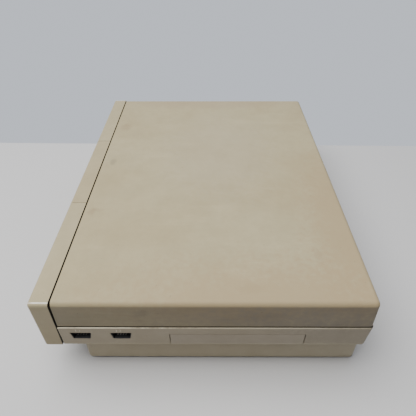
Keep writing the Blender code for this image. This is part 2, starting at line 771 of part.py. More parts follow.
def front_bezel():
    piece = bezel_outside("front_bezel")
    end = HALF - BEZEL_STEP - WALL
    web = WALL
    face_back = FRONT + BEZEL_LEAN + WALL
    open_back = BEZEL_BACK + 1 * MM
    low, high = BAY_HEIGHT + WALL, CASE_HEIGHT - WALL
    left = block("bezel_hollow_left", (-end, face_back, low), (MEMORY_LEFT - web, open_back, high))
    right = block("bezel_hollow_right", (MEMORY_RIGHT + web, face_back, low), (end, open_back, high))
    cut(piece, left, right)
    cut(piece, *memory_recess())
    cut(piece, front_groove("bezel_groove"))
    face = block(
        "drive_window",
        (DRIVE_X - DRIVE_WIDTH / 2 - FIT, FRONT - 1 * MM, FACE_Z - FACE_HEIGHT / 2 - FIT),
        (DRIVE_X + DRIVE_WIDTH / 2 + FIT, face_back + 1 * MM, FACE_Z + FACE_HEIGHT / 2 + FIT),
    )
    lamp = led_block("power_lamp_hole", *POWER_LED_PLACE, grow=0.25 * MM)
    cut(piece, face, lamp)
    fuse(piece, *bezel_lips(), *bezel_tabs())
    return smooth(piece)


def memory_recess():
    """Takes the bezel's outer skin away where the memory cover goes, and opens its frame."""
    skin = WALL + 0.4 * MM
    x0, x1 = MEMORY_LEFT, MEMORY_RIGHT
    frame_face = FRONT + BEZEL_LEAN + skin
    frame_back = frame_face + 2.5 * MM
    beyond = BEZEL_BACK + 1 * MM
    bottom, top = BAY_HEIGHT - 1 * MM, CASE_HEIGHT + 1 * MM
    return [
        block("skin_front", (x0, FRONT - 1 * MM, bottom), (x1, frame_face, top)),
        block("skin_top", (x0, FRONT - 1 * MM, CASE_HEIGHT - skin), (x1, beyond, top)),
        block("skin_bottom", (x0, FRONT - 1 * MM, bottom), (x1, beyond, BAY_HEIGHT + skin)),
        block(
            "frame_hollow",
            (x0, frame_back, BAY_HEIGHT + skin + 2.5 * MM),
            (x1, beyond, CASE_HEIGHT - skin - 3 * MM),
        ),
        block(
            "card_opening",
            (MEMORY_X - CARD_WIDTH / 2, FRONT, CARD_Z),
            (MEMORY_X + CARD_WIDTH / 2, beyond, CARD_Z + CARD_HEIGHT),
        ),
    ]


def bezel_lips():
    """Tongues behind the bezel that reach under the cover's roof and inside the side walls."""
    reach, blade, clear = 4.0 * MM, 2.0 * MM, 0.6 * MM
    side = HALF - LOWER_DRAFT - WALL - 0.8 * MM
    root = BEZEL_BACK - 5 * MM
    between = RAIL_MIDDLE - POST_RADIUS - 1 * MM
    top_low = ROOF - clear - blade
    lips = [
        block("top_lip", (-between, root, top_low), (between, BEZEL_BACK + reach, ROOF - clear)),
        block(
            "top_lip_root_left",
            (-side - 0.5 * MM, root + 0.6 * MM, top_low + 0.3 * MM),
            (MEMORY_LEFT - 1 * MM, BEZEL_BACK - 0.8 * MM, ROOF + WALL / 2),
        ),
        block(
            "top_lip_root_right",
            (MEMORY_RIGHT + 1 * MM, root + 0.6 * MM, top_low + 0.3 * MM),
            (side + 0.5 * MM, BEZEL_BACK - 0.8 * MM, ROOF + WALL / 2),
        ),
    ]
    for s in (-1, 1):
        thin = sorted((s * (side - blade), s * side))
        thick = sorted((s * (side - blade / 2), s * (HALF - BEZEL_STEP - WALL / 2)))
        low, high = DECK_TOP + 4 * MM, top_low + 1 * MM
        lips.append(
            block(f"side_lip_{s}", (thin[0], root + 0.3 * MM, low), (thin[1], BEZEL_BACK + reach, high))
        )
        lips.append(
            block(
                f"side_lip_root_{s}",
                (thick[0], root + 0.9 * MM, low + 0.5 * MM),
                (thick[1], BEZEL_BACK - 0.4 * MM, high - 0.3 * MM),
            )
        )
    return lips


def bezel_tabs():
    """Two flat tabs that lie on the deck behind the bezel."""
    tabs = []
    for x in (-HALF + 70 * MM, HALF - 70 * MM):
        low = (x - 12 * MM, BEZEL_BACK - 8 * MM, DECK_TOP + TOUCH)
        tabs.append(
            block(f"tab_{x:.2f}", low, (x + 12 * MM, BEZEL_BACK + 10 * MM, DECK_TOP + TOUCH + 2.5 * MM))
        )
        root = (x - 11 * MM, BEZEL_BACK - 7 * MM, DECK_TOP - WALL / 2)
        tabs.append(
            block(f"tab_root_{x:.2f}", root, (x + 11 * MM, BEZEL_BACK - 1 * MM, DECK_TOP + 3 * TOUCH))
        )
    return tabs


def memory_cover():
    """The pull-off cover in the middle of the bezel: face, top and bottom in one C."""
    piece = bezel_outside("memory_cover")
    beyond = 20 * MM
    slice_ = block(
        "memory_slice",
        (MEMORY_LEFT + FIT, FRONT - beyond, BAY_HEIGHT - beyond),
        (MEMORY_RIGHT - FIT, BEZEL_BACK + beyond, CASE_HEIGHT + beyond),
    )
    inside = block(
        "memory_inside",
        (MEMORY_LEFT, FRONT + BEZEL_LEAN + WALL, BAY_HEIGHT + WALL),
        (MEMORY_RIGHT, BEZEL_BACK + 1 * MM, CASE_HEIGHT - WALL),
    )
    keep_inside(piece, slice_)
    cut(piece, inside, front_groove("memory_groove"))
    pegs = []
    for s in (-1, 1):
        x = MEMORY_X + s * (CARD_WIDTH / 2 - 4 * MM)
        y = FRONT + BEZEL_LEAN
        low = (x - 2 * MM, y + WALL / 2, CARD_Z + CARD_HEIGHT - 5 * MM)
        pegs.append(
            block(f"peg_{s}", low, (x + 2 * MM, y + WALL + 7 * MM, CARD_Z + CARD_HEIGHT - 2 * MM))
        )
    fuse(piece, *pegs)
    pivot(piece, (MEMORY_X, BEZEL_BACK, (BAY_HEIGHT + CASE_HEIGHT) / 2))
    return smooth(piece)


def expansion_cover():
    """The pull-off cover of the side expansion opening, flush with the leaning wall."""
    piece = tray_outside("expansion_cover")
    keep_inside(piece, expansion_block("expansion_slice", FIT))
    y0 = FRONT + EXPANSION_FROM_FRONT
    z0 = BAY_HEIGHT
    inside = block(
        "expansion_inside",
        (HALF - 5 * WALL, y0 - 1 * MM, z0 + 2.4 * MM),
        (HALF - LOWER_DRAFT - 2.4 * MM, y0 + EXPANSION_WIDTH + 1 * MM, RIM + 1 * MM),
    )
    cut(piece, inside)
    pivot(piece, (HALF, y0 + EXPANSION_WIDTH / 2, z0 + EXPANSION_HEIGHT / 2))
    return smooth(piece)


def led_block(name, x, y, z, material=RED_LENS, grow=0.0, depth=9.0 * MM):
    """A small rectangular lamp lens, its face at y, reaching back into the case."""
    half_w, half_h = LED_WIDTH / 2 + grow, LED_HEIGHT / 2 + grow
    return block(
        name, (x - half_w, y - grow, z - half_h), (x + half_w, y + depth + 3 * grow, z + half_h), material
    )


POWER_LED_PLACE = (-HALF + 26 * MM, FRONT + 0.9 * MM, DECK_TOP + 10 * MM)


# ---------------------------------------------------------------- feet and case screws
def feet():
    for name, (x, y) in foot_places().items():
        foot = rod(name, FOOT_RADIUS - 0.8 * MM, (x, y, 0), (x, y, 1.0 * MM), RUBBER, 20, FOOT_RADIUS)
        body = rod(
            name + "_body",
            FOOT_RADIUS,
            (x, y, 0.99 * MM),
            (x, y, FOOT_HEIGHT + FOOT_RECESS - TOUCH),
            sides=20,
        )
        smooth(fuse(foot, body))


def case_screws():
    """Pan-head screws, each turned as one profile about its own axis, with a cross slot in the head."""
    for i, (x, y, floor) in enumerate(post_places()):
        seat = head_seat(floor)
        base = seat - TOUCH - SCREW_HEAD_HEIGHT
        screw = rod(
            f"case_screw_{i + 1}", SCREW_HEAD_RADIUS, (x, y, base), (x, y, seat - TOUCH), SCREW_STEEL, 16
        )
        shank_end = POST_TOP + SCREW_GRIP
        fuse(screw, rod(f"shank_{i}", SCREW_RADIUS, (x, y, base + 1 * MM), (x, y, shank_end), sides=10))
        for turn in (0, 1):
            half = (2.2 * MM, 0.45 * MM) if turn else (0.45 * MM, 2.2 * MM)
            cross = block(
                f"cross_{i}_{turn}",
                (x - half[0], y - half[1], base - 1 * MM),
                (x + half[0], y + half[1], base + 1.2 * MM),
            )
            cut(screw, cross)
        smooth(screw)


# ---------------------------------------------------------------- boards, shields and chips
def board_cutouts():
    """Notches in the board and the shields round the two back posts."""
    x, y = RAIL_MIDDLE, POST_BACK_Y
    reach = POST_RADIUS + 2 * MM
    return (x - reach, y - reach), (HALF, y + reach)


def main_board():
    right = BOARD_RIGHT
    piece = block("main_board", (BOARD_LEFT, BOARD_FRONT, BOARD_Z), (right, BOARD_BACK, BOARD_TOP), GREEN)
    y0 = FRONT + EXPANSION_FROM_FRONT + (EXPANSION_WIDTH - FINGER_WIDTH) / 2
    fingers = block(
        "fingers", (right - 1 * MM, y0, BOARD_Z), (right + FINGER_LENGTH, y0 + FINGER_WIDTH, BOARD_TOP)
    )
    fuse(piece, fingers)
    low, high = board_cutouts()
    cut(piece, block("board_notch", (*low, BOARD_Z - 1 * MM), (*high, BOARD_TOP + 1 * MM)))
    parts = []
    middle = (BOARD_LEFT + right) / 2
    for row in range(2):
        for i in range(8):
            x = BOARD_LEFT + 20 * MM + i * 13 * MM
            y = BOARD_FRONT + 22 * MM + row * 26 * MM
            parts.append(
                block(
                    f"ram_{row}_{i}",
                    (x - 4 * MM, y - 10 * MM, BOARD_TOP - 0.5 * MM),
                    (x + 4 * MM, y + 10 * MM, BOARD_TOP + 4 * MM),
                ),
            )
    for i in range(3):
        x = middle - 20 * MM + i * 22 * MM
        y = BOARD_BACK - 38 * MM
        parts.append(
            rod(
                f"capacitor_{i}",
                5 * MM,
                (x, y, BOARD_TOP - 0.5 * MM),
                (x, y, BOARD_TOP + 11 * MM),
                sides=12,
            ),
        )
    header = (BOARD_LEFT + 9 * MM, BOARD_BACK - 70 * MM)
    parts.append(
        block(
            "power_header",
            (*header, BOARD_TOP - 0.5 * MM),
            (header[0] + 8 * MM, header[1] + 24 * MM, BOARD_TOP + 8 * MM),
        ),
    )
    fuse(piece, *parts)
    return smooth(piece)


def chip(name, x, y, length, width, z=None, height=4.0 * MM, along="X"):
    """A dual in-line package with its two rows of legs as side strips, on the board at x, y."""
    z = BOARD_TOP + TOUCH if z is None else z
    half = (length / 2, width / 2) if along == "X" else (width / 2, length / 2)
    piece = block(
        name, (x - half[0], y - half[1], z + 0.8 * MM), (x + half[0], y + half[1], z + height), BLACK
    )
    legs = []
    for s in (-1, 1):
        if along == "X":
            low, high = (x - half[0] + 1 * MM, y + s * half[1]), (
                x + half[0] - 1 * MM, y + s * (half[1] + 1 * MM)
            )
        else:
            low, high = (x + s * half[0], y - half[1] + 1 * MM), (
                x + s * (half[0] + 1 * MM), y + half[1] - 1 * MM
            )
        corner_low = (min(low[0], high[0]) - 0.3 * MM, min(low[1], high[1]) - 0.3 * MM, z)
        corner_high = (max(low[0], high[0]) + 0.3 * MM, max(low[1], high[1]) + 0.3 * MM, z + 2 * MM)
        legs.append(block(f"{name}_legs_{s}", corner_low, corner_high))
    notch_end = (x - half[0], y) if along == "X" else (x, y - half[1])
    cut(
        piece,
        rod(
            name + "_notch",
            1.5 * MM,
            (*notch_end, z + height - 0.6 * MM),
            (*notch_end, z + height + 1 * MM),
            sides=12,
        ),
    )
    return fuse(piece, *legs)


def board_chips():
    y = BOARD_FRONT + 95 * MM
    chip("processor_chip", BOARD_LEFT + 62 * MM, y + 62 * MM, 81 * MM, 18 * MM)
    for i in range(3):
        chip(
            f"custom_chip_{i + 1}",
            BOARD_LEFT + 152 * MM + i * 22 * MM,
            y + 10 * MM,
            61 * MM,
            13 * MM,
            along="Y",
        )


def memory_connector():
    """The edge socket at the front of the board that a memory card plugs into."""
    y1 = BOARD_FRONT + 5 * MM
    half = CARD_WIDTH / 2 - 12 * MM
    low = (MEMORY_X - half, y1 - 9 * MM, BOARD_TOP + TOUCH)
    piece = block("memory_connector", low, (MEMORY_X + half, y1, BOARD_TOP + 8 * MM), BLACK)
    slot = block(
        "memory_slot",
        (MEMORY_X - half + 3 * MM, y1 - 10 * MM, BOARD_TOP + 3.4 * MM),
        (MEMORY_X + half - 3 * MM, y1 - 2.5 * MM, BOARD_TOP + 5.6 * MM),
    )
    return cut(piece, slot)


def bottom_shield():
    """Sheet steel tray between the deck and the board, bent up along three edges."""
    x0, x1 = BOARD_LEFT + 2 * MM, BOARD_RIGHT - 2 * MM
    y0, y1 = BOARD_FRONT + 4 * MM, BOARD_BACK - 2 * MM
    z0 = DECK_TOP + 0.5 * MM
    z1 = BOARD_Z - 0.7 * MM
    piece = block("bottom_shield", (x0, y0, z0), (x1, y1, z1), STEEL)
    inside = block(
        "bottom_inside", (x0 + SHEET, y0 + SHEET, z0 + SHEET), (x1 - SHEET, y1 - SHEET, z1 + 1 * MM)
    )
    low, high = board_cutouts()
    notch = block(
        "bottom_notch",
        (low[0] - 1 * MM, low[1] - 1 * MM, z0 - 1 * MM),
        (high[0], high[1] + 1 * MM, z1 + 1 * MM),
    )
    return cut(piece, inside, notch)


def top_shield():
    """Sheet steel hood over the board, with vent holes and two seats for the drive."""
    x0, x1 = BOARD_LEFT + 3 * MM, BOARD_RIGHT - 22 * MM
    y0, y1 = BOARD_FRONT + 8 * MM, BOARD_BACK - 24 * MM
    z0 = BOARD_TOP + TOUCH
    piece = block("top_shield", (x0, y0, z0), (x1, y1, SHIELD_TOP), STEEL)
    cut(
        piece,
        block(
            "hood_inside",
            (x0 + SHEET, y0 + SHEET, z0 - 1 * MM),
            (x1 - SHEET, y1 - SHEET, SHIELD_TOP - SHEET),
        ),
    )
    openings = [
        block(
            "hood_header",
            (x0 - 2 * MM, BOARD_BACK - 76 * MM, z0 - 1 * MM),
            (x0 + 22 * MM, BOARD_BACK - 40 * MM, SHIELD_TOP + 1 * MM),
        ),
    ]
    for i in range(6):
        x = x0 + 35 * MM + i * 14 * MM
        openings.append(
            block(
                f"hood_vent_{i}",
                (x - 2 * MM, y1 - 80 * MM, SHIELD_TOP - 2 * MM),
                (x + 2 * MM, y1 - 30 * MM, SHIELD_TOP + 1 * MM),
            ),
        )
    cable = cable_slot()
    openings.append(
        block(
            "hood_cable",
            (cable[0], cable[2], SHIELD_TOP - 2 * MM),
            (cable[1], cable[3], SHIELD_TOP + 1 * MM),
        ),
    )
    cut(piece, *openings)
    seats = []
    for s in (-1, 1):
        x = DRIVE_X + s * (DRIVE_WIDTH / 2 - 12 * MM)
        low = (x - 4 * MM, CASE_FRONT + 22 * MM, SHIELD_TOP - SHEET / 2)
        seats.append(
            block(
                f"drive_seat_{s}",
                low,
                (x + 4 * MM, DRIVE_BACK - 12 * MM, SHIELD_TOP + DRIVE_SEAT - TOUCH),
            ),
        )
    return fuse(piece, *seats)


def cable_slot():
    """Where the drive's ribbon passes through the shield: x0, x1, y0, y1."""
    return DRIVE_X - 26 * MM, DRIVE_X + 26 * MM, DRIVE_BACK + 6 * MM, DRIVE_BACK + 16 * MM


def daughter_board():
    """The upper board under the hood, on its socket strips."""
    x0, y0 = BOARD_LEFT + 16 * MM, BOARD_FRONT + 98 * MM
    x1, y1 = x0 + 120 * MM, y0 + 34 * MM
    z = BOARD_TOP + 7.0 * MM
    piece = block("daughter_board", (x0, y0, z), (x1, y1, z + BOARD_THICKNESS), GREEN)
    extras = [
        block(
            "strip_front",
            (x0 + 4 * MM, y0 + 1 * MM, BOARD_TOP + TOUCH),
            (x1 - 4 * MM, y0 + 4 * MM, z + 0.5 * MM),
        ),
        block(
            "strip_back",
            (x0 + 4 * MM, y1 - 4 * MM, BOARD_TOP + TOUCH),
            (x1 - 4 * MM, y1 - 1 * MM, z + 0.5 * MM),
        ),
    ]
    for i in range(8):
        x = x0 + 10 * MM + i * 14 * MM
        extras.append(
            block(
                f"upper_ram_{i}",
                (x - 4 * MM, y0 + 7 * MM, z + 1 * MM),
                (x + 4 * MM, y0 + 27 * MM, z + BOARD_THICKNESS + 3 * MM),
            ),
        )
    return fuse(piece, *extras)


# ---------------------------------------------------------------- connectors
def d_connector(name, pins, male, place, facing, width, height, nose, body, lean_angle):
    """A D-shaped connector: a box body, a flange and a D nose that stands out of it.

    place is the middle of the nose's outer end. A male one has a cavity with pins in it.
    """
    piece = block(
        name,
        (-width / 2 - 1 * MM, -nose - body, -height / 2 - 1 * MM),
        (width / 2 + 1 * MM, -nose, height / 2 + 1 * MM),
        BLACK,
    )
    fuse(
        piece,
        slab(
            name + "_nose",
            d_outline(width, height, lean_angle),
            nose + 1 * MM,
            BLACK,
            "Y",
            (0, -(nose + 1 * MM) / 2, 0),
        ),
    )
    if male:
        cavity = slab(
            name + "_cavity",
            d_outline(width - 2 * MM, height - 2 * MM, lean_angle, 0.8 * MM),
            2 * nose,
            BLACK,
            "Y",
        )
        cut(piece, cavity)
        rows = (pins + 1) // 2, pins // 2
        for row, count in enumerate(rows):
            for i in range(count):
                px = (i - (count - 1) / 2) * 2.77 * MM
                pz = (0.5 - row) * 2.84 * MM
                pin = rod(
                    f"{name}_pin_{row}_{i}",
                    0.5 * MM,
                    (px, -nose - 1 * MM, pz),
                    (px, -1.7 * MM, pz),
                    sides=6,
                )
                fuse(piece, pin)
    turn = {"back": 0.0, "right": -math.pi / 2}[facing]
    move = Matrix.Translation(place) @ Matrix.Rotation(turn, 4, "Z")
    for tool in [m.object for m in piece.modifiers if m.type == "BOOLEAN"] + [piece]:
        tool.matrix_basis = move @ tool.matrix_basis
    return smooth(piece)


def controller_ports():
    for i, y in enumerate(PORT_Y):
        place = (HALF - 3.2 * MM, y, PORT_Z)
        size = PORT_WIDTH - 0.8 * MM, PORT_HEIGHT - 0.8 * MM
        d_connector(
            f"controller_port_{i + 1}", 9, True, place, "right", *size, 6.0 * MM, 10.0 * MM, PORT_LEAN
        )


# Name, pins, male, nose width and distance from the rim to the connector's middle.
BACK_PORTS = [
    ("parallel_port", 25, True, 38.4 * MM, 57.0 * MM),
    ("disk_port", 23, False, 35.6 * MM, 111.0 * MM),
    ("serial_port", 25, False, 38.4 * MM, 165.0 * MM),
    ("rgb_port", 23, True, 35.6 * MM, 271.0 * MM),
]
SOCKET_LEAN = math.radians(10)
KEYBOARD_FROM_RIGHT = 21.0 * MM
AUDIO_FROM_RIGHT = (203.0 * MM, 217.0 * MM)
TV_FROM_RIGHT = 237.0 * MM
TV_RADIUS = 7.6 * MM
JACK_WIDTH = 13.2 * MM
JACK_ABOVE = 7.0 * MM  # centre line to the top of the keyboard jack
VIDEO_FROM_RIGHT = 301.0 * MM


def back_connectors():
    z = SOCKET_Z
    tip = BACK - 0.6 * MM
    for name, pins, male, width, from_right in BACK_PORTS:
        place = (HALF - from_right, tip, z)
        d_connector(name, pins, male, place, "back", width, 8.3 * MM, 7.2 * MM, 9.0 * MM, SOCKET_LEAN)
    for name, from_right in zip(("audio_jack_right", "audio_jack_left"), AUDIO_FROM_RIGHT):
        phono_jack(name, HALF - from_right, tip, z)
    phono_jack("video_jack", HALF - VIDEO_FROM_RIGHT, tip, z)
    tv_socket("tv_socket", HALF - TV_FROM_RIGHT, tip, z)
    keyboard_jack(HALF - KEYBOARD_FROM_RIGHT, tip, z)


def phono_jack(name, x, y, z):
    """A phono socket: a block, a round barrel and a contact hole."""
    face = IO_PANEL_Y - 1.4 * MM
    piece = block(
        name, (x - 5.5 * MM, face - 10 * MM, z - 5.5 * MM), (x + 5.5 * MM, face, z + 5.5 * MM), BLACK
    )
    fuse(piece, rod(name + "_barrel", 4.1 * MM, (x, face - 1 * MM, z), (x, y, z), sides=20))
    return smooth(
        cut(piece, rod(name + "_hole", 1.6 * MM, (x, face - 2 * MM, z), (x, y + 1 * MM, z), sides=12))
    )


def tv_socket(name, x, y, z):
    """A round socket with a ring groove for the plug's shell."""
    face = IO_PANEL_Y - 1.4 * MM
    radius = TV_RADIUS
    piece = block(
        name, (x - 8.5 * MM, face - 11 * MM, z - 6.0 * MM), (x + 8.5 * MM, face, z + 8.5 * MM), BLACK
    )
    fuse(piece, rod(name + "_ring", radius, (x, face - 1 * MM, z), (x, y, z), sides=28))
    groove = rod(name + "_groove", radius - 0.9 * MM, (x, face + 1 * MM, z), (x, y + 1 * MM, z), sides=28)
    core = rod(name + "_core", radius - 2.2 * MM, (x, face + 0.5 * MM, z), (x, y - 0.6 * MM, z), sides=24)
    return smooth(fuse(cut(piece, groove), core))


def keyboard_jack(x, y, z):
    """The keyboard's modular jack."""
    face = IO_PANEL_Y - 1.4 * MM
    piece = block(
        "keyboard_jack",
        (x - JACK_WIDTH / 2, face - 12 * MM, z - 6 * MM),
        (x + JACK_WIDTH / 2, y, z + JACK_ABOVE),
        BLACK,
    )
    mouth = block(
        "jack_mouth",
        (x - 4.9 * MM, face - 8 * MM, z - 3.6 * MM),
        (x + 4.9 * MM, y + 1 * MM, z + 3.2 * MM),
    )
    latch = block(
        "jack_latch",
        (x - 3.1 * MM, face - 8 * MM, z - 4.8 * MM),
        (x + 3.1 * MM, y + 1 * MM, z - 3.4 * MM),
    )
    return cut(piece, mouth, latch)


def io_panel():
    """The sheet steel panel behind the back window, cut out for each connector."""
    y0 = IO_PANEL_Y - 1.0 * MM
    z = SOCKET_Z
    piece = block(
        "io_panel", (IO_LEFT, y0, DECK_TOP + 0.4 * MM), (IO_RIGHT, IO_PANEL_Y, RIM - 2.2 * MM), STEEL
    )
    holes = []
    for name, pins, male, width, from_right in BACK_PORTS:
        points = d_outline(width + 0.8 * MM, 9.1 * MM, SOCKET_LEAN)
        holes.append(slab(name + "_hole", points, 6 * MM, STEEL, "Y", (HALF - from_right, IO_PANEL_Y, z)))
    for i, from_right in enumerate((*AUDIO_FROM_RIGHT, VIDEO_FROM_RIGHT)):
        x = HALF - from_right
        holes.append(rod(f"phono_hole_{i}", 4.6 * MM, (x, y0 - 2 * MM, z), (x, BACK, z), sides=20))
    x = HALF - TV_FROM_RIGHT
    holes.append(rod("tv_hole", 8.1 * MM, (x, y0 - 2 * MM, z), (x, BACK, z), sides=28))
    x = HALF - KEYBOARD_FROM_RIGHT
    holes.append(
        block("jack_hole", (x - 7 * MM, y0 - 2 * MM, z - 6.4 * MM), (x + 7 * MM, BACK, z + 7.4 * MM))
    )
    return smooth(cut(piece, *holes))


# ---------------------------------------------------------------- power supply, fan, inlet, switch
def supply_case():
    """Folded steel box of the power supply, open at the top, with the fan's round hole."""
    low = (SUPPLY_LEFT, SUPPLY_FRONT, SUPPLY_Z)
    piece = block("supply_case", low, (SUPPLY_RIGHT, SUPPLY_BACK, SUPPLY_TOP - 1.6 * MM), STEEL)
    inside = block(
        "supply_inside",
        (SUPPLY_LEFT + SHEET, SUPPLY_FRONT + SHEET, SUPPLY_Z + SHEET),
        (SUPPLY_RIGHT - SHEET, SUPPLY_BACK - SHEET, SUPPLY_TOP + 1 * MM),
    )
    mouth = rod(
        "fan_mouth",
        FAN_SIZE / 2 - 2 * MM,
        (FAN_X, SUPPLY_BACK - 3 * MM, FAN_Z),
        (FAN_X, SUPPLY_BACK + 3 * MM, FAN_Z),
        sides=32,
    )
    intake = [
        block(
            f"intake_{i}",
            (SUPPLY_LEFT + 18 * MM + i * 9 * MM, SUPPLY_FRONT - 1 * MM, SUPPLY_Z + 10 * MM),
            (SUPPLY_LEFT + 22 * MM + i * 9 * MM, SUPPLY_FRONT + 2 * MM, SUPPLY_Z + 40 * MM),
        )
        for i in range(7)
    ]
    harness = harness_start()
    hole = rod(
        "harness_hole",
        4.2 * MM,
        (harness.x - 3 * MM, harness.y, harness.z),
        (harness.x + 3 * MM, harness.y, harness.z),
    )
    return cut(piece, inside, mouth, hole, *intake)


def supply_cover():
    piece = block(
        "supply_cover",
        (SUPPLY_LEFT - 1.1 * MM, SUPPLY_FRONT + 1 * MM, SUPPLY_TOP - 12 * MM),
        (SUPPLY_RIGHT + 1.1 * MM, SUPPLY_BACK - 1 * MM, SUPPLY_TOP),
        STEEL,
    )
    inside = block(
        "lid_inside",
        (SUPPLY_LEFT - 0.3 * MM, SUPPLY_FRONT - 1 * MM, SUPPLY_TOP - 13 * MM),
        (SUPPLY_RIGHT + 0.3 * MM, SUPPLY_BACK + 1 * MM, SUPPLY_TOP - SHEET),
    )
    slots = [
        block(
            f"lid_slot_{i}",
            (SUPPLY_LEFT + 20 * MM, SUPPLY_FRONT + 30 * MM + i * 12 * MM, SUPPLY_TOP - 2 * MM),
            (SUPPLY_RIGHT - 20 * MM, SUPPLY_FRONT + 34 * MM + i * 12 * MM, SUPPLY_TOP + 1 * MM),
        )
        for i in range(6)
    ]
    return cut(piece, inside, *slots)


def supply_board():
    """The converter board with its transformer, heat sink and reservoir capacitors."""
    z0 = SUPPLY_Z + 5 * MM
    x0, x1 = SUPPLY_LEFT + 4 * MM, SUPPLY_RIGHT - 4 * MM
    y0, y1 = SUPPLY_FRONT + 6 * MM, SUPPLY_BACK - 22 * MM
    piece = block("supply_board", (x0, y0, z0), (x1, y1, z0 + BOARD_THICKNESS), GREEN)
    top = z0 + BOARD_THICKNESS
    mid = (x0 + x1) / 2
    extras = [
        block(
            "sink",
            (x0 + 8 * MM, y0 + 20 * MM, top - 0.5 * MM),
            (x0 + 11 * MM, y1 - 30 * MM, top + 30 * MM),
        ),
        block(
            "core",
            (mid - 6 * MM, y0 + 90 * MM, top - 0.5 * MM),
            (mid + 30 * MM, y0 + 126 * MM, top + 28 * MM),
        ),
    ]
    for i in range(2):
        x = mid - 4 * MM + i * 27 * MM
        extras.append(
            rod(
                f"reservoir_{i}",
                11 * MM,
                (x, y1 - 18 * MM, top - 0.5 * MM),
                (x, y1 - 18 * MM, top + 32 * MM),
                sides=16,
            ),
        )
    return smooth(fuse(piece, *extras))


def harness_start():
    """Where the low-voltage leads leave the supply's right side."""
    return Vector((SUPPLY_RIGHT - SHEET / 2, BOARD_BACK - 58 * MM, SUPPLY_Z + 26 * MM))


def power_harness():
    """The bundle of low-voltage leads from the supply to the header on the main board."""
    start = harness_start()
    end = Vector((BOARD_LEFT + 13 * MM, BOARD_BACK - 58 * MM, BOARD_TOP + 8.4 * MM))
    route = [
        start + Vector((1 * MM, 0, 0)),
        start + Vector((7 * MM, 0, 0.5 * MM)),
        Vector((end.x - 3.5 * MM, end.y, start.z - 1.5 * MM)),
        Vector((end.x, end.y, start.z - 6.5 * MM)),
        end + Vector((0, 0, 2 * MM)),
        end,
    ]
    curve = bpy.data.curves.new("power_harness", "CURVE")
    curve.dimensions = "3D"
    curve.bevel_depth = 3.2 * MM
    curve.bevel_resolution = 2
    curve.use_fill_caps = True
    line = curve.splines.new("POLY")
    line.points.add(len(route) - 1)
    for point, place in zip(line.points, route):
        point.co = (*place, 1.0)
    tube = bpy.data.objects.new("power_harness_curve", curve)
    bpy.context.scene.collection.objects.link(tube)
    bpy.context.view_layer.update()
    return smooth(meshed(tube, "power_harness", BLACK))


def fan():
    """A 50 mm axial fan: the square frame with its strut, and the bladed rotor."""
    half = FAN_SIZE / 2
    y0, y1 = FAN_Y - FAN_DEPTH / 2, FAN_Y + FAN_DEPTH / 2
    frame = block("fan_frame", (FAN_X - half, y0, FAN_Z - half), (FAN_X + half, y1, FAN_Z + half), BLACK)
    round_edges(frame, 3 * MM, lambda a, b: near(a.x, b.x) and near(a.z, b.z), 3)
    cut(
        frame,
        rod(
            "fan_bore",
            half - 1.6 * MM,
            (FAN_X, y0 - 1 * MM, FAN_Z),
            (FAN_X, y1 + 1 * MM, FAN_Z),
            sides=40,
        ),
    )
    strut = block(
        "fan_strut",
        (FAN_X - half + 1 * MM, y0, FAN_Z - 2 * MM),
        (FAN_X + half - 1 * MM, y0 + 2 * MM, FAN_Z + 2 * MM),
    )
    upright = block(
        "fan_strut_up",
        (FAN_X - 2 * MM, y0, FAN_Z - half + 1 * MM),
        (FAN_X + 2 * MM, y0 + 2 * MM, FAN_Z + half - 1 * MM),
    )
    disc = rod("fan_disc", FAN_HUB_RADIUS, (FAN_X, y0, FAN_Z), (FAN_X, y0 + 2 * MM, FAN_Z), sides=24)
    smooth(fuse(frame, strut, upright, disc))

    rotor = rod(
        "fan_rotor", FAN_HUB_RADIUS, (FAN_X, y0 + 2.6 * MM, FAN_Z), (FAN_X, y1 - 1 * MM, FAN_Z), BLACK, 24
    )
    centre = Vector((FAN_X, (y0 + y1) / 2 + 0.8 * MM, FAN_Z))
    for i in range(FAN_BLADES):
        blade = block(
            f"blade_{i}",
            (FAN_HUB_RADIUS - 1.5 * MM, -5.5 * MM, -0.5 * MM),
            (half - 2.8 * MM, 5.5 * MM, 0.5 * MM),
        )
        pitch = Matrix.Rotation(math.radians(38), 4, "X")
        spoke = Matrix.Rotation(math.tau * i / FAN_BLADES, 4, "Y")
        blade.matrix_basis = Matrix.Translation(centre) @ spoke @ pitch @ blade.matrix_basis
        fuse(rotor, blade)
    pivot(rotor, (FAN_X, FAN_Y, FAN_Z))
    smooth(rotor)


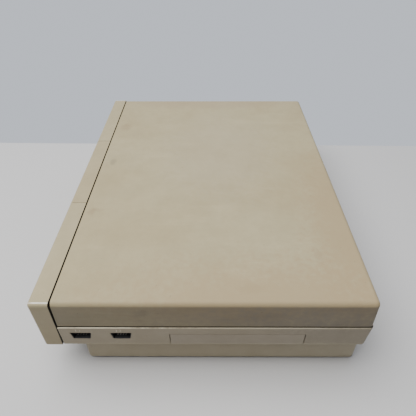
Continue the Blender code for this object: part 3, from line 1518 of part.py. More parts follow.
def power_inlet():
    """The three-blade mains inlet, pushed in from inside."""
    face = BACK - LOWER_DRAFT - 0.2 * MM
    half_w, half_h = INLET_WIDTH / 2, INLET_HEIGHT / 2
    piece = block(
        "power_inlet",
        (INLET_X - half_w, face - 21 * MM, INLET_Z - half_h),
        (INLET_X + half_w, face, INLET_Z + half_h),
        BLACK,
    )
    collar_face = BACK - LOWER_DRAFT - WALL - TOUCH
    collar = block(
        "inlet_collar",
        (INLET_X - half_w - INLET_COLLAR, collar_face - 2 * MM, INLET_Z - half_h - INLET_COLLAR_RISE),
        (INLET_X + half_w + INLET_COLLAR, collar_face, INLET_Z + half_h + INLET_COLLAR_RISE),
    )
    fuse(piece, collar)
    w, h, chamfer = 24.2 * MM / 2, 16.2 * MM / 2, 4.5 * MM
    mouth = [(-w, -h), (w, -h), (w, h - chamfer), (w - chamfer, h), (-w + chamfer, h), (-w, h - chamfer)]
    cut(piece, slab("inlet_mouth", mouth, 32 * MM, BLACK, "Y", (INLET_X, face, INLET_Z)))
    for i, (dx, dz) in enumerate(((-7 * MM, -2 * MM), (7 * MM, -2 * MM), (0.0, 2 * MM))):
        x, z = INLET_X + dx, INLET_Z + dz
        fuse(
            piece,
            block(
                f"inlet_blade_{i}",
                (x - 1 * MM, face - 17 * MM, z - 2 * MM),
                (x + 1 * MM, face - 2.5 * MM, z + 2 * MM),
            ),
        )
    return smooth(piece)


def power_switch():
    """A recessed rocker switch: the housing behind the wall and the rocker on its cross axle."""
    outer = -HALF + LOWER_DRAFT + WALL + TOUCH
    half_l, half_h = SWITCH_LENGTH / 2, SWITCH_HEIGHT / 2
    housing = block(
        "switch_housing",
        (outer, SWITCH_Y - half_l, SWITCH_Z - half_h),
        (outer + 17 * MM, SWITCH_Y + half_l, SWITCH_Z + half_h),
        BLACK,
    )
    wall = 2.6 * MM
    well = block(
        "switch_well",
        (outer - 1 * MM, SWITCH_Y - half_l + wall, SWITCH_Z - half_h + wall),
        (outer + 12 * MM, SWITCH_Y + half_l - wall, SWITCH_Z + half_h - wall),
    )
    smooth(cut(housing, well))

    axle_x = outer + 4.6 * MM
    rocker_half = half_l - wall - 0.7 * MM
    width = SWITCH_HEIGHT / 2 - wall - 0.4 * MM
    rise = 3.0 * MM
    slope = math.tan(SWITCH_TILT)
    # Seen along the axle: a shallow V whose far leg stands out while the near leg is pressed in.
    points = [
        (-rocker_half, -rise),
        (0.0, -rise + rocker_half * slope),
        (rocker_half, -rise),
        (rocker_half * 0.9, 1.5 * MM),
        (3.0 * MM, 4.0 * MM),
        (-3.0 * MM, 4.0 * MM),
        (-rocker_half * 0.9, 1.5 * MM),
    ]
    rocker = slab("switch_rocker", points, 2 * width, BLACK, "Z")
    place = Matrix.Translation((axle_x, SWITCH_Y, SWITCH_Z))
    swap = Matrix(((0, 1, 0, 0), (1, 0, 0, 0), (0, 0, -1, 0), (0, 0, 0, 1)))
    rocker.matrix_basis = place @ Matrix.Rotation(SWITCH_TILT, 4, "Z") @ swap @ rocker.matrix_basis
    pivot(rocker, (axle_x, SWITCH_Y, SWITCH_Z))
    return smooth(rocker)


# ---------------------------------------------------------------- disk drive
def drive_chassis():
    """Cast pan of the drive: base plate, two side walls and a cross wall at the back."""
    half = DRIVE_WIDTH / 2 - 0.6 * MM
    x0, x1 = DRIVE_X - half, DRIVE_X + half
    y0, y1 = CHASSIS_FRONT, DRIVE_BACK
    piece = block("drive_chassis", (x0, y0, DRIVE_Z), (x1, y1, DRIVE_Z + DRIVE_HEIGHT - 2.4 * MM), STEEL)
    side, base = 2.0 * MM, 6.0 * MM
    inside = block(
        "drive_inside",
        (x0 + side, y0 - 1 * MM, DRIVE_Z + base),
        (x1 - side, y1 - side, DRIVE_Z + DRIVE_HEIGHT),
    )
    under = block(
        "drive_under",
        (x0 + side, y0 - 1 * MM, DRIVE_Z - 1 * MM),
        (x1 - side, y1 + 1 * MM, DRIVE_Z + base - 2.0 * MM),
    )
    well = rod(
        "spindle_well",
        14 * MM,
        (DRIVE_X, SPINDLE_Y, DRIVE_Z),
        (DRIVE_X, SPINDLE_Y, DRIVE_Z + base + 1 * MM),
        sides=24,
    )
    plug = block(
        "cable_gate",
        (DRIVE_X - 24 * MM, y1 - 4 * MM, DRIVE_Z - 1 * MM),
        (DRIVE_X + 24 * MM, y1 + 1 * MM, DRIVE_Z + 14 * MM),
    )
    return smooth(cut(piece, inside, under, well, plug))


SPINDLE_Y = CHASSIS_FRONT + 62 * MM
SCREW_X = DRIVE_X + 14 * MM
ROD_X = DRIVE_X - 14 * MM
STEPPER_Y = DRIVE_BACK - 3 * MM


def drive_cover():
    half = DRIVE_WIDTH / 2
    top = DRIVE_Z + DRIVE_HEIGHT
    piece = block(
        "drive_cover",
        (DRIVE_X - half, CHASSIS_FRONT, top - 10 * MM),
        (DRIVE_X + half, DRIVE_BACK - 20 * MM, top),
        STEEL,
    )
    inside = block(
        "drive_cover_inside",
        (DRIVE_X - half + 0.35 * MM, CHASSIS_FRONT - 1 * MM, top - 11 * MM),
        (DRIVE_X + half - 0.35 * MM, DRIVE_BACK, top - SHEET),
    )
    window = block(
        "drive_cover_window",
        (DRIVE_X - 12 * MM, SPINDLE_Y, top - 2 * MM),
        (DRIVE_X + 12 * MM, SPINDLE_Y + 46 * MM, top + 1 * MM),
    )
    return cut(piece, inside, window)


HINGE_Z = DISK_Z + SLOT_HEIGHT / 2 + 1.1 * MM
HINGE_Y = DRIVE_FRONT + 2.4 * MM
MOUTH_WIDTH = DISK_WIDTH + 5.0 * MM
BUTTON_X = DRIVE_X + DRIVE_WIDTH / 2 - 17 * MM
BUTTON_Z = FACE_Z - FACE_HEIGHT / 2 + 7.0 * MM
DRIVE_LED_PLACE = (DRIVE_X - DRIVE_WIDTH / 2 + 12 * MM, DRIVE_FRONT + 0.2 * MM, BUTTON_Z)


def drive_faceplate():
    """The drive's own front, seen in the bezel's window, with the disk slot and its finger scoop."""
    half = DRIVE_WIDTH / 2
    low, high = FACE_Z - FACE_HEIGHT / 2, FACE_Z + FACE_HEIGHT / 2
    piece = block(
        "drive_faceplate",
        (DRIVE_X - half, DRIVE_FRONT, low),
        (DRIVE_X + half, DRIVE_FRONT + FACE_THICKNESS, high),
    )
    mouth = block(
        "disk_mouth",
        (DRIVE_X - MOUTH_WIDTH / 2, DRIVE_FRONT - 1 * MM, DISK_Z - SLOT_HEIGHT / 2),
        (DRIVE_X + MOUTH_WIDTH / 2, DRIVE_FRONT + FACE_THICKNESS + 1 * MM, DISK_Z + SLOT_HEIGHT / 2),
    )
    pocket = block(
        "flap_pocket",
        (DRIVE_X - MOUTH_WIDTH / 2 - 1.0 * MM, DRIVE_FRONT + 1.4 * MM, DISK_Z - SLOT_HEIGHT / 2),
        (DRIVE_X + MOUTH_WIDTH / 2 + 1.0 * MM, DRIVE_FRONT + FACE_THICKNESS + 1 * MM, HINGE_Z + 1.3 * MM),
    )
    scoop = rod(
        "finger_scoop",
        13 * MM,
        (DRIVE_X, DRIVE_FRONT - 1 * MM, DISK_Z - SLOT_HEIGHT / 2 + 5.5 * MM),
        (DRIVE_X, DRIVE_FRONT + 1.3 * MM, DISK_Z - SLOT_HEIGHT / 2 + 5.5 * MM),
        sides=32,
    )
    button = block(
        "button_hole",
        (BUTTON_X - BUTTON_WIDTH / 2 - FIT, DRIVE_FRONT - 1 * MM, BUTTON_Z - BUTTON_HEIGHT / 2 - FIT),
        (
            BUTTON_X + BUTTON_WIDTH / 2 + FIT,
            DRIVE_FRONT + FACE_THICKNESS + 1 * MM,
            BUTTON_Z + BUTTON_HEIGHT / 2 + FIT,
        ),
    )
    lamp = led_block("drive_lamp_hole", *DRIVE_LED_PLACE, grow=0.25 * MM)
    return smooth(cut(piece, mouth, pocket, scoop, button, lamp))


def drive_flap():
    """The sprung door of the disk slot, hung from an axle over the slot."""
    width = MOUTH_WIDTH / 2 - 0.5 * MM
    low = DISK_Z - SLOT_HEIGHT / 2 + 0.3 * MM
    piece = block(
        "drive_flap",
        (DRIVE_X - width, HINGE_Y - FLAP_THICKNESS / 2, low),
        (DRIVE_X + width, HINGE_Y + FLAP_THICKNESS / 2, HINGE_Z),
        BLACK,
    )
    fuse(
        piece,
        rod(
            "flap_axle",
            0.75 * MM,
            (DRIVE_X - width - 0.9 * MM, HINGE_Y, HINGE_Z),
            (DRIVE_X + width + 0.9 * MM, HINGE_Y, HINGE_Z),
            sides=12,
        ),
    )
    pivot(piece, (DRIVE_X, HINGE_Y, HINGE_Z))
    return smooth(piece)


def eject_button():
    """The eject button with the stalk that works the disk cage."""
    half_w, half_h = BUTTON_WIDTH / 2, BUTTON_HEIGHT / 2
    face = DRIVE_FRONT - 1.2 * MM
    piece = block(
        "eject_button",
        (BUTTON_X - half_w, face, BUTTON_Z - half_h),
        (BUTTON_X + half_w, DRIVE_FRONT + FACE_THICKNESS - 0.3 * MM, BUTTON_Z + half_h),
    )
    round_edges(piece, 0.8 * MM, lambda a, b: near(a.y, face) and near(b.y, face), 2)
    stalk_back = CHASSIS_FRONT + 20 * MM
    fuse(
        piece,
        block(
            "button_stalk",
            (BUTTON_X - 5 * MM, DRIVE_FRONT + 2 * MM, BUTTON_Z - 2 * MM),
            (BUTTON_X + 5 * MM, stalk_back, BUTTON_Z + 1 * MM),
        ),
    )
    pivot(piece, (BUTTON_X, face, BUTTON_Z))
    return smooth(piece)


def disk_cage():
    """The holder that a disk slides into; it drops onto the spindle as the disk goes home."""
    half = DISK_WIDTH / 2 + 3.2 * MM
    y0 = CHASSIS_FRONT + 8 * MM
    y1 = y0 + 88 * MM
    z0, z1 = DISK_Z - 3.6 * MM, DISK_Z + 3.8 * MM
    piece = block("disk_cage", (DRIVE_X - half, y0, z0), (DRIVE_X + half, y1, z1), STEEL)
    inside = block(
        "cage_inside",
        (DRIVE_X - half + SHEET, y0 - 1 * MM, z0 + SHEET),
        (DRIVE_X + half - SHEET, y1 + 1 * MM, z1 - SHEET),
    )
    belly = block(
        "cage_belly",
        (DRIVE_X - half + 6 * MM, y0 - 1 * MM, z0 - 1 * MM),
        (DRIVE_X + half - 6 * MM, y1 + 1 * MM, z0 + 2 * MM),
    )
    slot = block(
        "cage_slot",
        (DRIVE_X - 8 * MM, SPINDLE_Y - 2 * MM, z1 - 2 * MM),
        (DRIVE_X + 8 * MM, y1 + 1 * MM, z1 + 1 * MM),
    )
    cut(piece, inside, belly, slot)
    pivot(piece, (DRIVE_X, (y0 + y1) / 2, DISK_Z))
    return piece


def spindle():
    """The flat motor under the base plate and the hub that turns the disk."""
    z = DRIVE_Z + 4.0 * MM
    motor = rod(
        "spindle_motor",
        26 * MM,
        (DRIVE_X, SPINDLE_Y, z - 1.0 * MM),
        (DRIVE_X, SPINDLE_Y, z - TOUCH),
        STEEL,
        32,
    )
    hub = rod(
        "spindle_hub",
        12.5 * MM,
        (DRIVE_X, SPINDLE_Y, z + 0.3 * MM),
        (DRIVE_X, SPINDLE_Y, DRIVE_Z + 10 * MM),
        STEEL,
        28,
    )
    nose = rod(
        "hub_nose",
        2.0 * MM,
        (DRIVE_X, SPINDLE_Y, z + 0.5 * MM),
        (DRIVE_X, SPINDLE_Y, DRIVE_Z + 13 * MM),
        sides=12,
    )
    x = DRIVE_X + 9 * MM
    drive_pin = rod(
        "hub_pin", 1.2 * MM, (x, SPINDLE_Y, z + 1 * MM), (x, SPINDLE_Y, DRIVE_Z + 11.5 * MM), sides=10
    )
    fuse(hub, nose, drive_pin)
    pivot(hub, (DRIVE_X, SPINDLE_Y, DRIVE_Z + 10 * MM))
    smooth(motor)
    smooth(hub)


def head_parts():
    """Stepper motor, its screw, the guide rod and the carriage with the two head arms."""
    motor = rod(
        "stepper_motor",
        8.5 * MM,
        (SCREW_X, STEPPER_Y - 13 * MM, DRIVE_Z + 15.2 * MM),
        (SCREW_X, STEPPER_Y, DRIVE_Z + 15.2 * MM),
        STEEL,
        24,
    )
    smooth(motor)
    z = DRIVE_Z + 15.2 * MM
    screw_front = STEPPER_Y - 13 * MM - 26 * MM
    screw = rod(
        "lead_screw", 1.6 * MM, (SCREW_X, screw_front, z), (SCREW_X, STEPPER_Y - 13.3 * MM, z), STEEL, 12
    )
    pivot(screw, (SCREW_X, screw_front, z))
    smooth(screw)
    guide = rod(
        "guide_rod",
        1.5 * MM,
        (ROD_X, screw_front - 4 * MM, z - 3 * MM),
        (ROD_X, DRIVE_BACK - 2.3 * MM, z - 3 * MM),
        STEEL,
        12,
    )
    smooth(guide)

    y1 = STEPPER_Y - 16 * MM
    y0 = y1 - 8 * MM
    body = block(
        "head_carriage",
        (ROD_X - 5 * MM, y0, DRIVE_Z + 7.5 * MM),
        (SCREW_X + 5 * MM, y1, DRIVE_Z + 20 * MM),
        BLACK,
    )
    lower = block(
        "lower_arm",
        (DRIVE_X - 5 * MM, y0 - 28 * MM, DRIVE_Z + 7.5 * MM),
        (DRIVE_X + 5 * MM, y0 + 1 * MM, DRIVE_Z + 10.5 * MM),
    )
    neck = block(
        "arm_neck",
        (DRIVE_X - 5 * MM, y0 + 2 * MM, DRIVE_Z + 19 * MM),
        (DRIVE_X + 5 * MM, y1, DRIVE_Z + 27.2 * MM),
    )
    upper = block(
        "upper_arm",
        (DRIVE_X - 5 * MM, y0 - 28 * MM, DRIVE_Z + 25.2 * MM),
        (DRIVE_X + 5 * MM, y1, DRIVE_Z + 27.2 * MM),
    )
    fuse(body, lower, neck, upper)
    for name, x, radius, height in (
        ("screw", SCREW_X, 2.1 * MM, z), ("rod", ROD_X, 1.85 * MM, z - 3 * MM)
    ):
        cut(
            body,
            rod(
                f"carriage_{name}_bore",
                radius,
                (x, y0 - 1 * MM, height),
                (x, y1 + 1 * MM, height),
                sides=16,
            ),
        )
    pivot(body, (DRIVE_X, y1, DRIVE_Z + 10 * MM))
    smooth(body)


def drive_board():
    """The drive's electronics, a thin board under the base plate."""
    half = DRIVE_WIDTH / 2 - 4 * MM
    z = DRIVE_Z + 0.6 * MM
    piece = block(
        "drive_board",
        (DRIVE_X - half, SPINDLE_Y + 30 * MM, z),
        (DRIVE_X + half, DRIVE_BACK - 5 * MM, z + 1.2 * MM),
        GREEN,
    )
    plug = block(
        "drive_header",
        (DRIVE_X - 22 * MM, DRIVE_BACK - 10 * MM, z + 0.5 * MM),
        (DRIVE_X + 22 * MM, DRIVE_BACK - 1 * MM, z + 3.1 * MM),
    )
    return fuse(piece, plug)


def drive_ribbon():
    """The flat cable from the drive's back down through the shield to the main board."""
    x0, x1, y0, y1 = cable_slot()
    thickness = 0.9 * MM
    start = Vector((DRIVE_BACK - 0.6 * MM, DRIVE_Z + 2.2 * MM))
    turn_y = (y0 + y1) / 2
    radius = 4.0 * MM
    end_z = BOARD_TOP + 1.6 * MM
    centre = Vector((turn_y - radius, start.y - radius))
    line = [start]
    for i in range(5):
        angle = math.pi / 2 * (1 - i / 4)
        line.append(centre + Vector((math.cos(angle), math.sin(angle))) * radius)
    line.append(Vector((turn_y, end_z)))
    near_side = [p + side_step(line, i) * thickness / 2 for i, p in enumerate(line)]
    far_side = [p - side_step(line, i) * thickness / 2 for i, p in enumerate(line)]
    outline = [tuple(p) for p in near_side + far_side[::-1]]
    return slab("drive_ribbon", outline, 42 * MM, RIBBON, "X", (DRIVE_X, 0, 0))


def side_step(line, i):
    """Unit vector square to a polyline at its i-th point."""
    before, after = line[max(i - 1, 0)], line[min(i + 1, len(line) - 1)]
    along = (after - before).normalized()
    return Vector((-along.y, along.x))


# ---------------------------------------------------------------- assembly
def build():
    lower_case()
    top_cover()
    front_bezel()
    memory_cover()
    expansion_cover()
    feet()
    case_screws()
    bottom_shield()
    main_board()
    board_chips()
    memory_connector()
    daughter_board()
    top_shield()
    controller_ports()
    back_connectors()
    io_panel()
    supply_case()
    supply_cover()
    supply_board()
    power_harness()
    fan()
    power_inlet()
    power_switch()
    led_block("power_led", *POWER_LED_PLACE)
    drive_chassis()
    drive_cover()
    drive_faceplate()
    drive_flap()
    eject_button()
    led_block("drive_led", *DRIVE_LED_PLACE)
    disk_cage()
    spindle()
    head_parts()
    drive_board()
    drive_ribbon()


build()
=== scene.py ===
# %% [markdown]
# # A desktop computer of the mid 1980s
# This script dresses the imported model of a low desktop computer: a moulded lower case that stands on a
# U-shaped plinth, a top cover, a bezel over the whole front, and the boards and the disk drive inside.
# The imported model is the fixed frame. It is loaded first, and every new piece takes its place from it.

# %% Load the frame and measure it
import math

import bmesh
import bpy
from mathutils import Matrix, Vector


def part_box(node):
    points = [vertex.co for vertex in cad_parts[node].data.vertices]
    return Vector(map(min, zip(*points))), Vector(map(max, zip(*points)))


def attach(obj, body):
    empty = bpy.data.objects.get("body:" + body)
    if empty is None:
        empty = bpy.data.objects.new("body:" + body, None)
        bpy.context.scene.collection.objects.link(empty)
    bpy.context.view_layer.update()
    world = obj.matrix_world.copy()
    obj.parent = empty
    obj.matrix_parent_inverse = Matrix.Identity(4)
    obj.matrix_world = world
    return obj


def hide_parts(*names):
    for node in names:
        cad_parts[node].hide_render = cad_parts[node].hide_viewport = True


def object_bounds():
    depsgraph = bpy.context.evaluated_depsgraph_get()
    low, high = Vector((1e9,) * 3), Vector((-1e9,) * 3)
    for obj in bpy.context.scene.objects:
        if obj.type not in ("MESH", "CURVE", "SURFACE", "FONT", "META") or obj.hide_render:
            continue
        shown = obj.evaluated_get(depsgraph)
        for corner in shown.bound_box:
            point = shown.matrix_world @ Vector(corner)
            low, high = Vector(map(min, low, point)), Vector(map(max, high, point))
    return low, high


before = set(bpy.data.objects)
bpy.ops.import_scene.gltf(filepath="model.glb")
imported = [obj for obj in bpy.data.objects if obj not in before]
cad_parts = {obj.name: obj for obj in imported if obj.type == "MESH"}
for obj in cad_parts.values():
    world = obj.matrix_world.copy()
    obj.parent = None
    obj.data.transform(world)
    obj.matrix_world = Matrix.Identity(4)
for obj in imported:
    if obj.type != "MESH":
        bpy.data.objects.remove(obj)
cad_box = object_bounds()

MM = 0.001
print("the object is", [round((b - a) / MM, 1) for a, b in zip(*cad_box)], "mm")

# %% [markdown]
# ## The camera
# The camera stands off the right side and looks down at about 39 degrees, so the top panel fills most of
# the view and the side wall shows in a narrow band below it. A lens of about 34 mm on a 36 mm sensor
# keeps the strong narrowing towards the far end that a lens has from half a metre away.

# %% Place the camera
CAMERA_PLACE = Vector((0.45183, 0.00494, 0.40900))
CAMERA_PITCH = math.radians(39.161)
CAMERA_SWING = math.radians(-0.35)
CAMERA_ROLL = math.radians(-0.186)
LENS_MM = 34.46


def camera_turn(pitch, swing, roll):
    """The camera's rotation: it looks along -X, turned by swing, tipped down by pitch and rolled."""
    level = math.cos(pitch)
    forward = Vector((-level * math.cos(swing), level * math.sin(swing), -math.sin(pitch)))
    right = forward.cross(Vector((0, 0, 1))).normalized()
    up = right.cross(forward)
    rolled_right = right * math.cos(roll) + up * math.sin(roll)
    rolled_up = up * math.cos(roll) - right * math.sin(roll)
    return Matrix((rolled_right, rolled_up, -forward)).transposed()


bpy.ops.object.camera_add(location=CAMERA_PLACE)
camera = bpy.context.active_object
camera.rotation_euler = camera_turn(CAMERA_PITCH, CAMERA_SWING, CAMERA_ROLL).to_euler()
camera.data.lens = LENS_MM
camera.data.sensor_width = 36.0
bpy.context.scene.camera = camera
print("camera with a", round(camera.data.lens, 2), "mm lens")

# %% [markdown]
# ## Table, background and light
# The object stands on a pale table that ends a hand's breadth behind it, and past the edge there is a
# pale background. The background belongs to the world and not to a wall of mesh, so that it never stands
# between the object and a camera on the far side. Below the horizon the world is as pale as the table, so
# the floor seems to go on. The one lamp is large and soft and hangs high up, a little towards the bezel,
# so the top panel is bright, the near side is in shade, and the shade deepens away from the bezel.

# %% Build the table


def plain_finish(name, colour, roughness):
    """A single-colour finish for the stage."""
    made = bpy.data.materials.new(name)
    made.use_nodes = True
    shader = made.node_tree.nodes["Principled BSDF"]
    shader.inputs["Base Color"].default_value = (*colour, 1.0)
    shader.inputs["Roughness"].default_value = roughness
    return made


EDGE_DISTANCE = 0.2534
TABLE_SIZE = 6.0
bpy.ops.mesh.primitive_plane_add(size=TABLE_SIZE, location=(TABLE_SIZE / 2 - EDGE_DISTANCE, 0.0, 0.0))
table = bpy.context.active_object
table.name = "table_top"
table.rotation_euler.z = math.radians(-0.9)
table.data.materials.append(plain_finish("white_table", (0.54, 0.54, 0.545), 0.7))
print("stage:", table.name)

# %% [markdown]
# ### Lamp and background
# A small lamp would give a hard shadow, so the one lamp is a square almost two metres wide, as a softbox
# is. The background could be a wall of mesh. Here it is the world's own colour, mixed by direction,
# because a wall would hide the object from cameras behind it.

# %% Add the lamp and the background


def soft_lamp(name, place, target, size, power, colour):
    """A square area lamp that faces a target."""
    bpy.ops.object.light_add(type="AREA", location=place)
    lamp = bpy.context.active_object
    lamp.name = name
    lamp.rotation_euler = (Vector(target) - Vector(place)).to_track_quat("-Z", "Y").to_euler()
    lamp.data.shape = "SQUARE"
    lamp.data.size = size
    lamp.data.energy = power
    lamp.data.color = colour
    return lamp


soft_lamp("overhead_softbox", (0.22, -0.60, 1.85), (0.0, 0.0, 0.0), 1.9, 71.0, (1.0, 0.985, 0.96))


def studio_air():
    """A pale background on the far side that fades to a dim room behind the camera, over a pale floor."""
    made = bpy.data.worlds.new("studio_air")
    made.use_nodes = True
    nodes, links = made.node_tree.nodes, made.node_tree.links
    direction = nodes.new("ShaderNodeTexCoord").outputs["Generated"]
    parts = nodes.new("ShaderNodeSeparateXYZ")
    links.new(direction, parts.inputs[0])

    def blend(axis, low, high, first, second):
        """Mixes two colours by how far the direction leans along an axis; second may be a link."""
        share = nodes.new("ShaderNodeMapRange")
        share.inputs["From Min"].default_value = low
        share.inputs["From Max"].default_value = high
        links.new(parts.outputs[axis], share.inputs["Value"])
        mix = nodes.new("ShaderNodeMix")
        mix.data_type = "RGBA"
        links.new(share.outputs["Result"], mix.inputs[0])
        mix.inputs[6].default_value = (*first, 1.0)
        if isinstance(second, tuple):
            mix.inputs[7].default_value = (*second, 1.0)
        else:
            links.new(second, mix.inputs[7])
        return mix.outputs[2]

    room = blend("Z", -0.04, 0.0, (0.46, 0.46, 0.465), (0.10, 0.10, 0.105))
    air = blend("X", -0.55, 0.35, (0.67, 0.71, 0.78), room)
    links.new(air, nodes["Background"].inputs["Color"])
    return made


bpy.context.scene.world = studio_air()

# %% [markdown]
# ## Finishes
# Each finish is a small net of nodes. A surface that is moulded, aged and handled is never one colour:
# the plastic has yellowed in broad soft clouds, carries a fine moulded grain, faint rubbing marks and a
# few specks. Every pattern reads Object coordinates in metres, so a noise of scale 400 has features of
# about 2.5 mm. A few helpers keep the nets short.

# %% Helpers for node nets


def start_finish(name, roughness=0.5, metallic=0.0):
    """A new material: its node tree, its shader and the object coordinates."""
    made = bpy.data.materials.new(name)
    made.use_nodes = True
    tree = made.node_tree
    shader = tree.nodes["Principled BSDF"]
    shader.inputs["Roughness"].default_value = roughness
    shader.inputs["Metallic"].default_value = metallic
    place = tree.nodes.new("ShaderNodeTexCoord").outputs["Object"]
    return made, tree, shader, place


def add(tree, kind, inputs, **settings):
    """Adds a node, sets it, and fills its inputs with links or with numbers."""
    made = tree.nodes.new("ShaderNode" + kind)
    for key, value in settings.items():
        setattr(made, key, value)
    for key, value in inputs.items():
        if isinstance(value, bpy.types.NodeSocket):
            tree.links.new(value, made.inputs[key])
        else:
            made.inputs[key].default_value = value
    return made


def noise(tree, place, scale, detail=3.0, rough=0.5, stretch=None):
    """A cloudy pattern from 0 to 1, stretched along an axis if asked."""
    if stretch:
        place = add(tree, "Mapping", {"Vector": place, "Scale": stretch}).outputs["Vector"]
    inputs = {"Vector": place, "Scale": scale, "Detail": detail, "Roughness": rough}
    return add(tree, "TexNoise", inputs).outputs["Fac"]


def fade(tree, value, low, high, start=0.0, end=1.0):
    """Turns a value between low and high into one between start and end, smoothly."""
    inputs = {"Value": value, "From Min": low, "From Max": high, "To Min": start, "To Max": end}
    return add(tree, "MapRange", inputs, interpolation_type="SMOOTHSTEP").outputs["Result"]


def tint(tree, share, first, second, how="MIX"):
    """Mixes two colours, each a link or a triple of numbers."""
    made = tree.nodes.new("ShaderNodeMix")
    made.data_type = "RGBA"
    made.blend_type = how
    for socket, value in ((made.inputs[0], share), (made.inputs[6], first), (made.inputs[7], second)):
        if isinstance(value, bpy.types.NodeSocket):
            tree.links.new(value, socket)
        elif isinstance(value, tuple):
            socket.default_value = (*value, 1.0)
        else:
            socket.default_value = value
    return made.outputs[2]


def maths(tree, how, first, second=0.0):
    return add(tree, "Math", {0: first, 1: second}, operation=how).outputs[0]


def bump(tree, shader, height, depth, strength=1.0, under=None):
    """Raises the surface by a pattern, depth in metres."""
    inputs = {"Height": height, "Distance": depth, "Strength": strength}
    if under:
        inputs["Normal"] = under
    made = add(tree, "Bump", inputs).outputs["Normal"]
    tree.links.new(made, shader.inputs["Normal"])
    return made


print("node helpers ready")

# %% [markdown]
# ### The aged case plastic
# The case is an ABS moulding in warm beige with a fine spark-eroded grain. The recipe is the same for all
# of its pieces, but each has aged a little differently, so the colour, the amount of yellowing and the
# rubbing are settings. The clouds are two noises of unlike size, the rubbing marks are a noise stretched
# along the depth, and the grain is bump only, because it is finer than a fifth of a millimetre.

# %% Case plastic


def spot(tree, place, centre, size, wobble=1.1, edge=0.3):
    """1 inside a blot of that size round a point, fading to 0, with a ragged rim."""
    away = add(tree, "VectorMath", {0: place, 1: centre}, operation="SUBTRACT").outputs["Vector"]
    away = add(tree, "VectorMath", {0: away, 1: size}, operation="DIVIDE").outputs["Vector"]
    far = add(tree, "VectorMath", {0: away}, operation="LENGTH").outputs["Value"]
    ragged = maths(tree, "MULTIPLY_ADD", noise(tree, place, 160.0, 4.0, 0.6), wobble)
    ragged.node.inputs[2].default_value = -wobble / 2
    return fade(tree, maths(tree, "ADD", far, ragged), 1.0, edge)


# The colour of the painted shade in each narrow gap between the case pieces.
GAP_SHADE = (0.035, 0.028, 0.020)


def past(tree, place, axis, at, way, soft=0.00012):
    """1 where a coordinate is past a level, and 0 before it; way is 1 for above and -1 for below."""
    parts = add(tree, "SeparateXYZ", {"Vector": place})
    value = parts.outputs["XYZ".index(axis)]
    if axis == "X":
        value = maths(tree, "ABSOLUTE", value)
    return fade(tree, value, at - way * soft, at + way * soft)


def case_plastic(
    name, colour, aged, clouds=0.5, rubbing=0.5, stains_and_painted_light=(), roughness=0.55, shaded_gaps=(), shaded_walls=None
):
    """Beige moulded plastic.

    aged is its yellowed colour. stains are spots of (centre, size, colour, share): real dirt and yellowing,
    and also painted shade and painted highlights. gaps are joints darkened by painted shade, each a set of
    (axis, level, way). film is a (height, way, tint) of painted shade that darkens the walls past a height.
    """
    made, tree, shader, place = start_finish(name, roughness)
    shader.inputs["Specular IOR Level"].default_value = 0.3
    broad = fade(tree, noise(tree, place, 7.0, 4.0, 0.6), 0.35, 0.65, 0.0, clouds)
    tone = tint(tree, broad, colour, aged)
    mottle = fade(tree, noise(tree, place, 42.0, 6.0, 0.65), 0.3, 0.7, 0.0, 1.0)
    tone = tint(tree, 0.55, tone, tint(tree, mottle, (0.90, 0.89, 0.87), (1.04, 1.04, 1.05)), "MULTIPLY")
    # Spots of colour: real dirt and yellowing, and also painted shade and painted highlights.
    for centre, size, spot_tone, share in stains_and_painted_light:
        blot = maths(tree, "MULTIPLY", spot(tree, place, centre, size), share)
        tone = tint(tree, blot, tone, spot_tone)
    rub = fade(tree, noise(tree, place, 26.0, 8.0, 0.7, (1.0, 0.25, 1.0)), 0.54, 0.74, 0.0, rubbing)
    tone = tint(tree, rub, tone, tuple(min(1.0, c * 1.18 + 0.02) for c in colour))
    specks = fade(tree, noise(tree, place, 420.0, 2.0, 0.5), 0.72, 0.78, 0.0, 0.35)
    tone = tint(tree, specks, tone, tuple(c * 0.35 for c in aged))
    # Painted shade: past a height the walls are darkened in patches by the given tint.
    if shaded_walls:
        height, way, shade_tint = shaded_walls
        patches = fade(tree, noise(tree, place, 14.0, 6.0, 0.7, (1.0, 0.5, 3.0)), 0.3, 0.7, 0.78, 1.0)
        shaded_share = maths(tree, "MULTIPLY", past(tree, place, "Z", height, way, 0.0012), patches)
        tone = tint(tree, shaded_share, tone, shade_tint, "MULTIPLY")
    # Painted shade: each narrow gap between the case pieces is darkened towards black.
    for gap in shaded_gaps:
        share = 1.0
        for axis, at, way in gap:
            share = maths(tree, "MULTIPLY", past(tree, place, axis, at, way), share)
        tone = tint(tree, share, tone, GAP_SHADE)
    tree.links.new(tone, shader.inputs["Base Color"])
    gloss = fade(tree, noise(tree, place, 18.0, 5.0, 0.6), 0.3, 0.7, roughness - 0.06, roughness + 0.08)
    tree.links.new(gloss, shader.inputs["Roughness"])
    waves = bump(tree, shader, noise(tree, place, 30.0, 2.0, 0.4), 0.0004, 0.12)
    bump(tree, shader, noise(tree, place, 2600.0, 2.0, 0.6), 0.00005, 0.35, waves)
    return made


print("the recipe of the case plastic is ready")
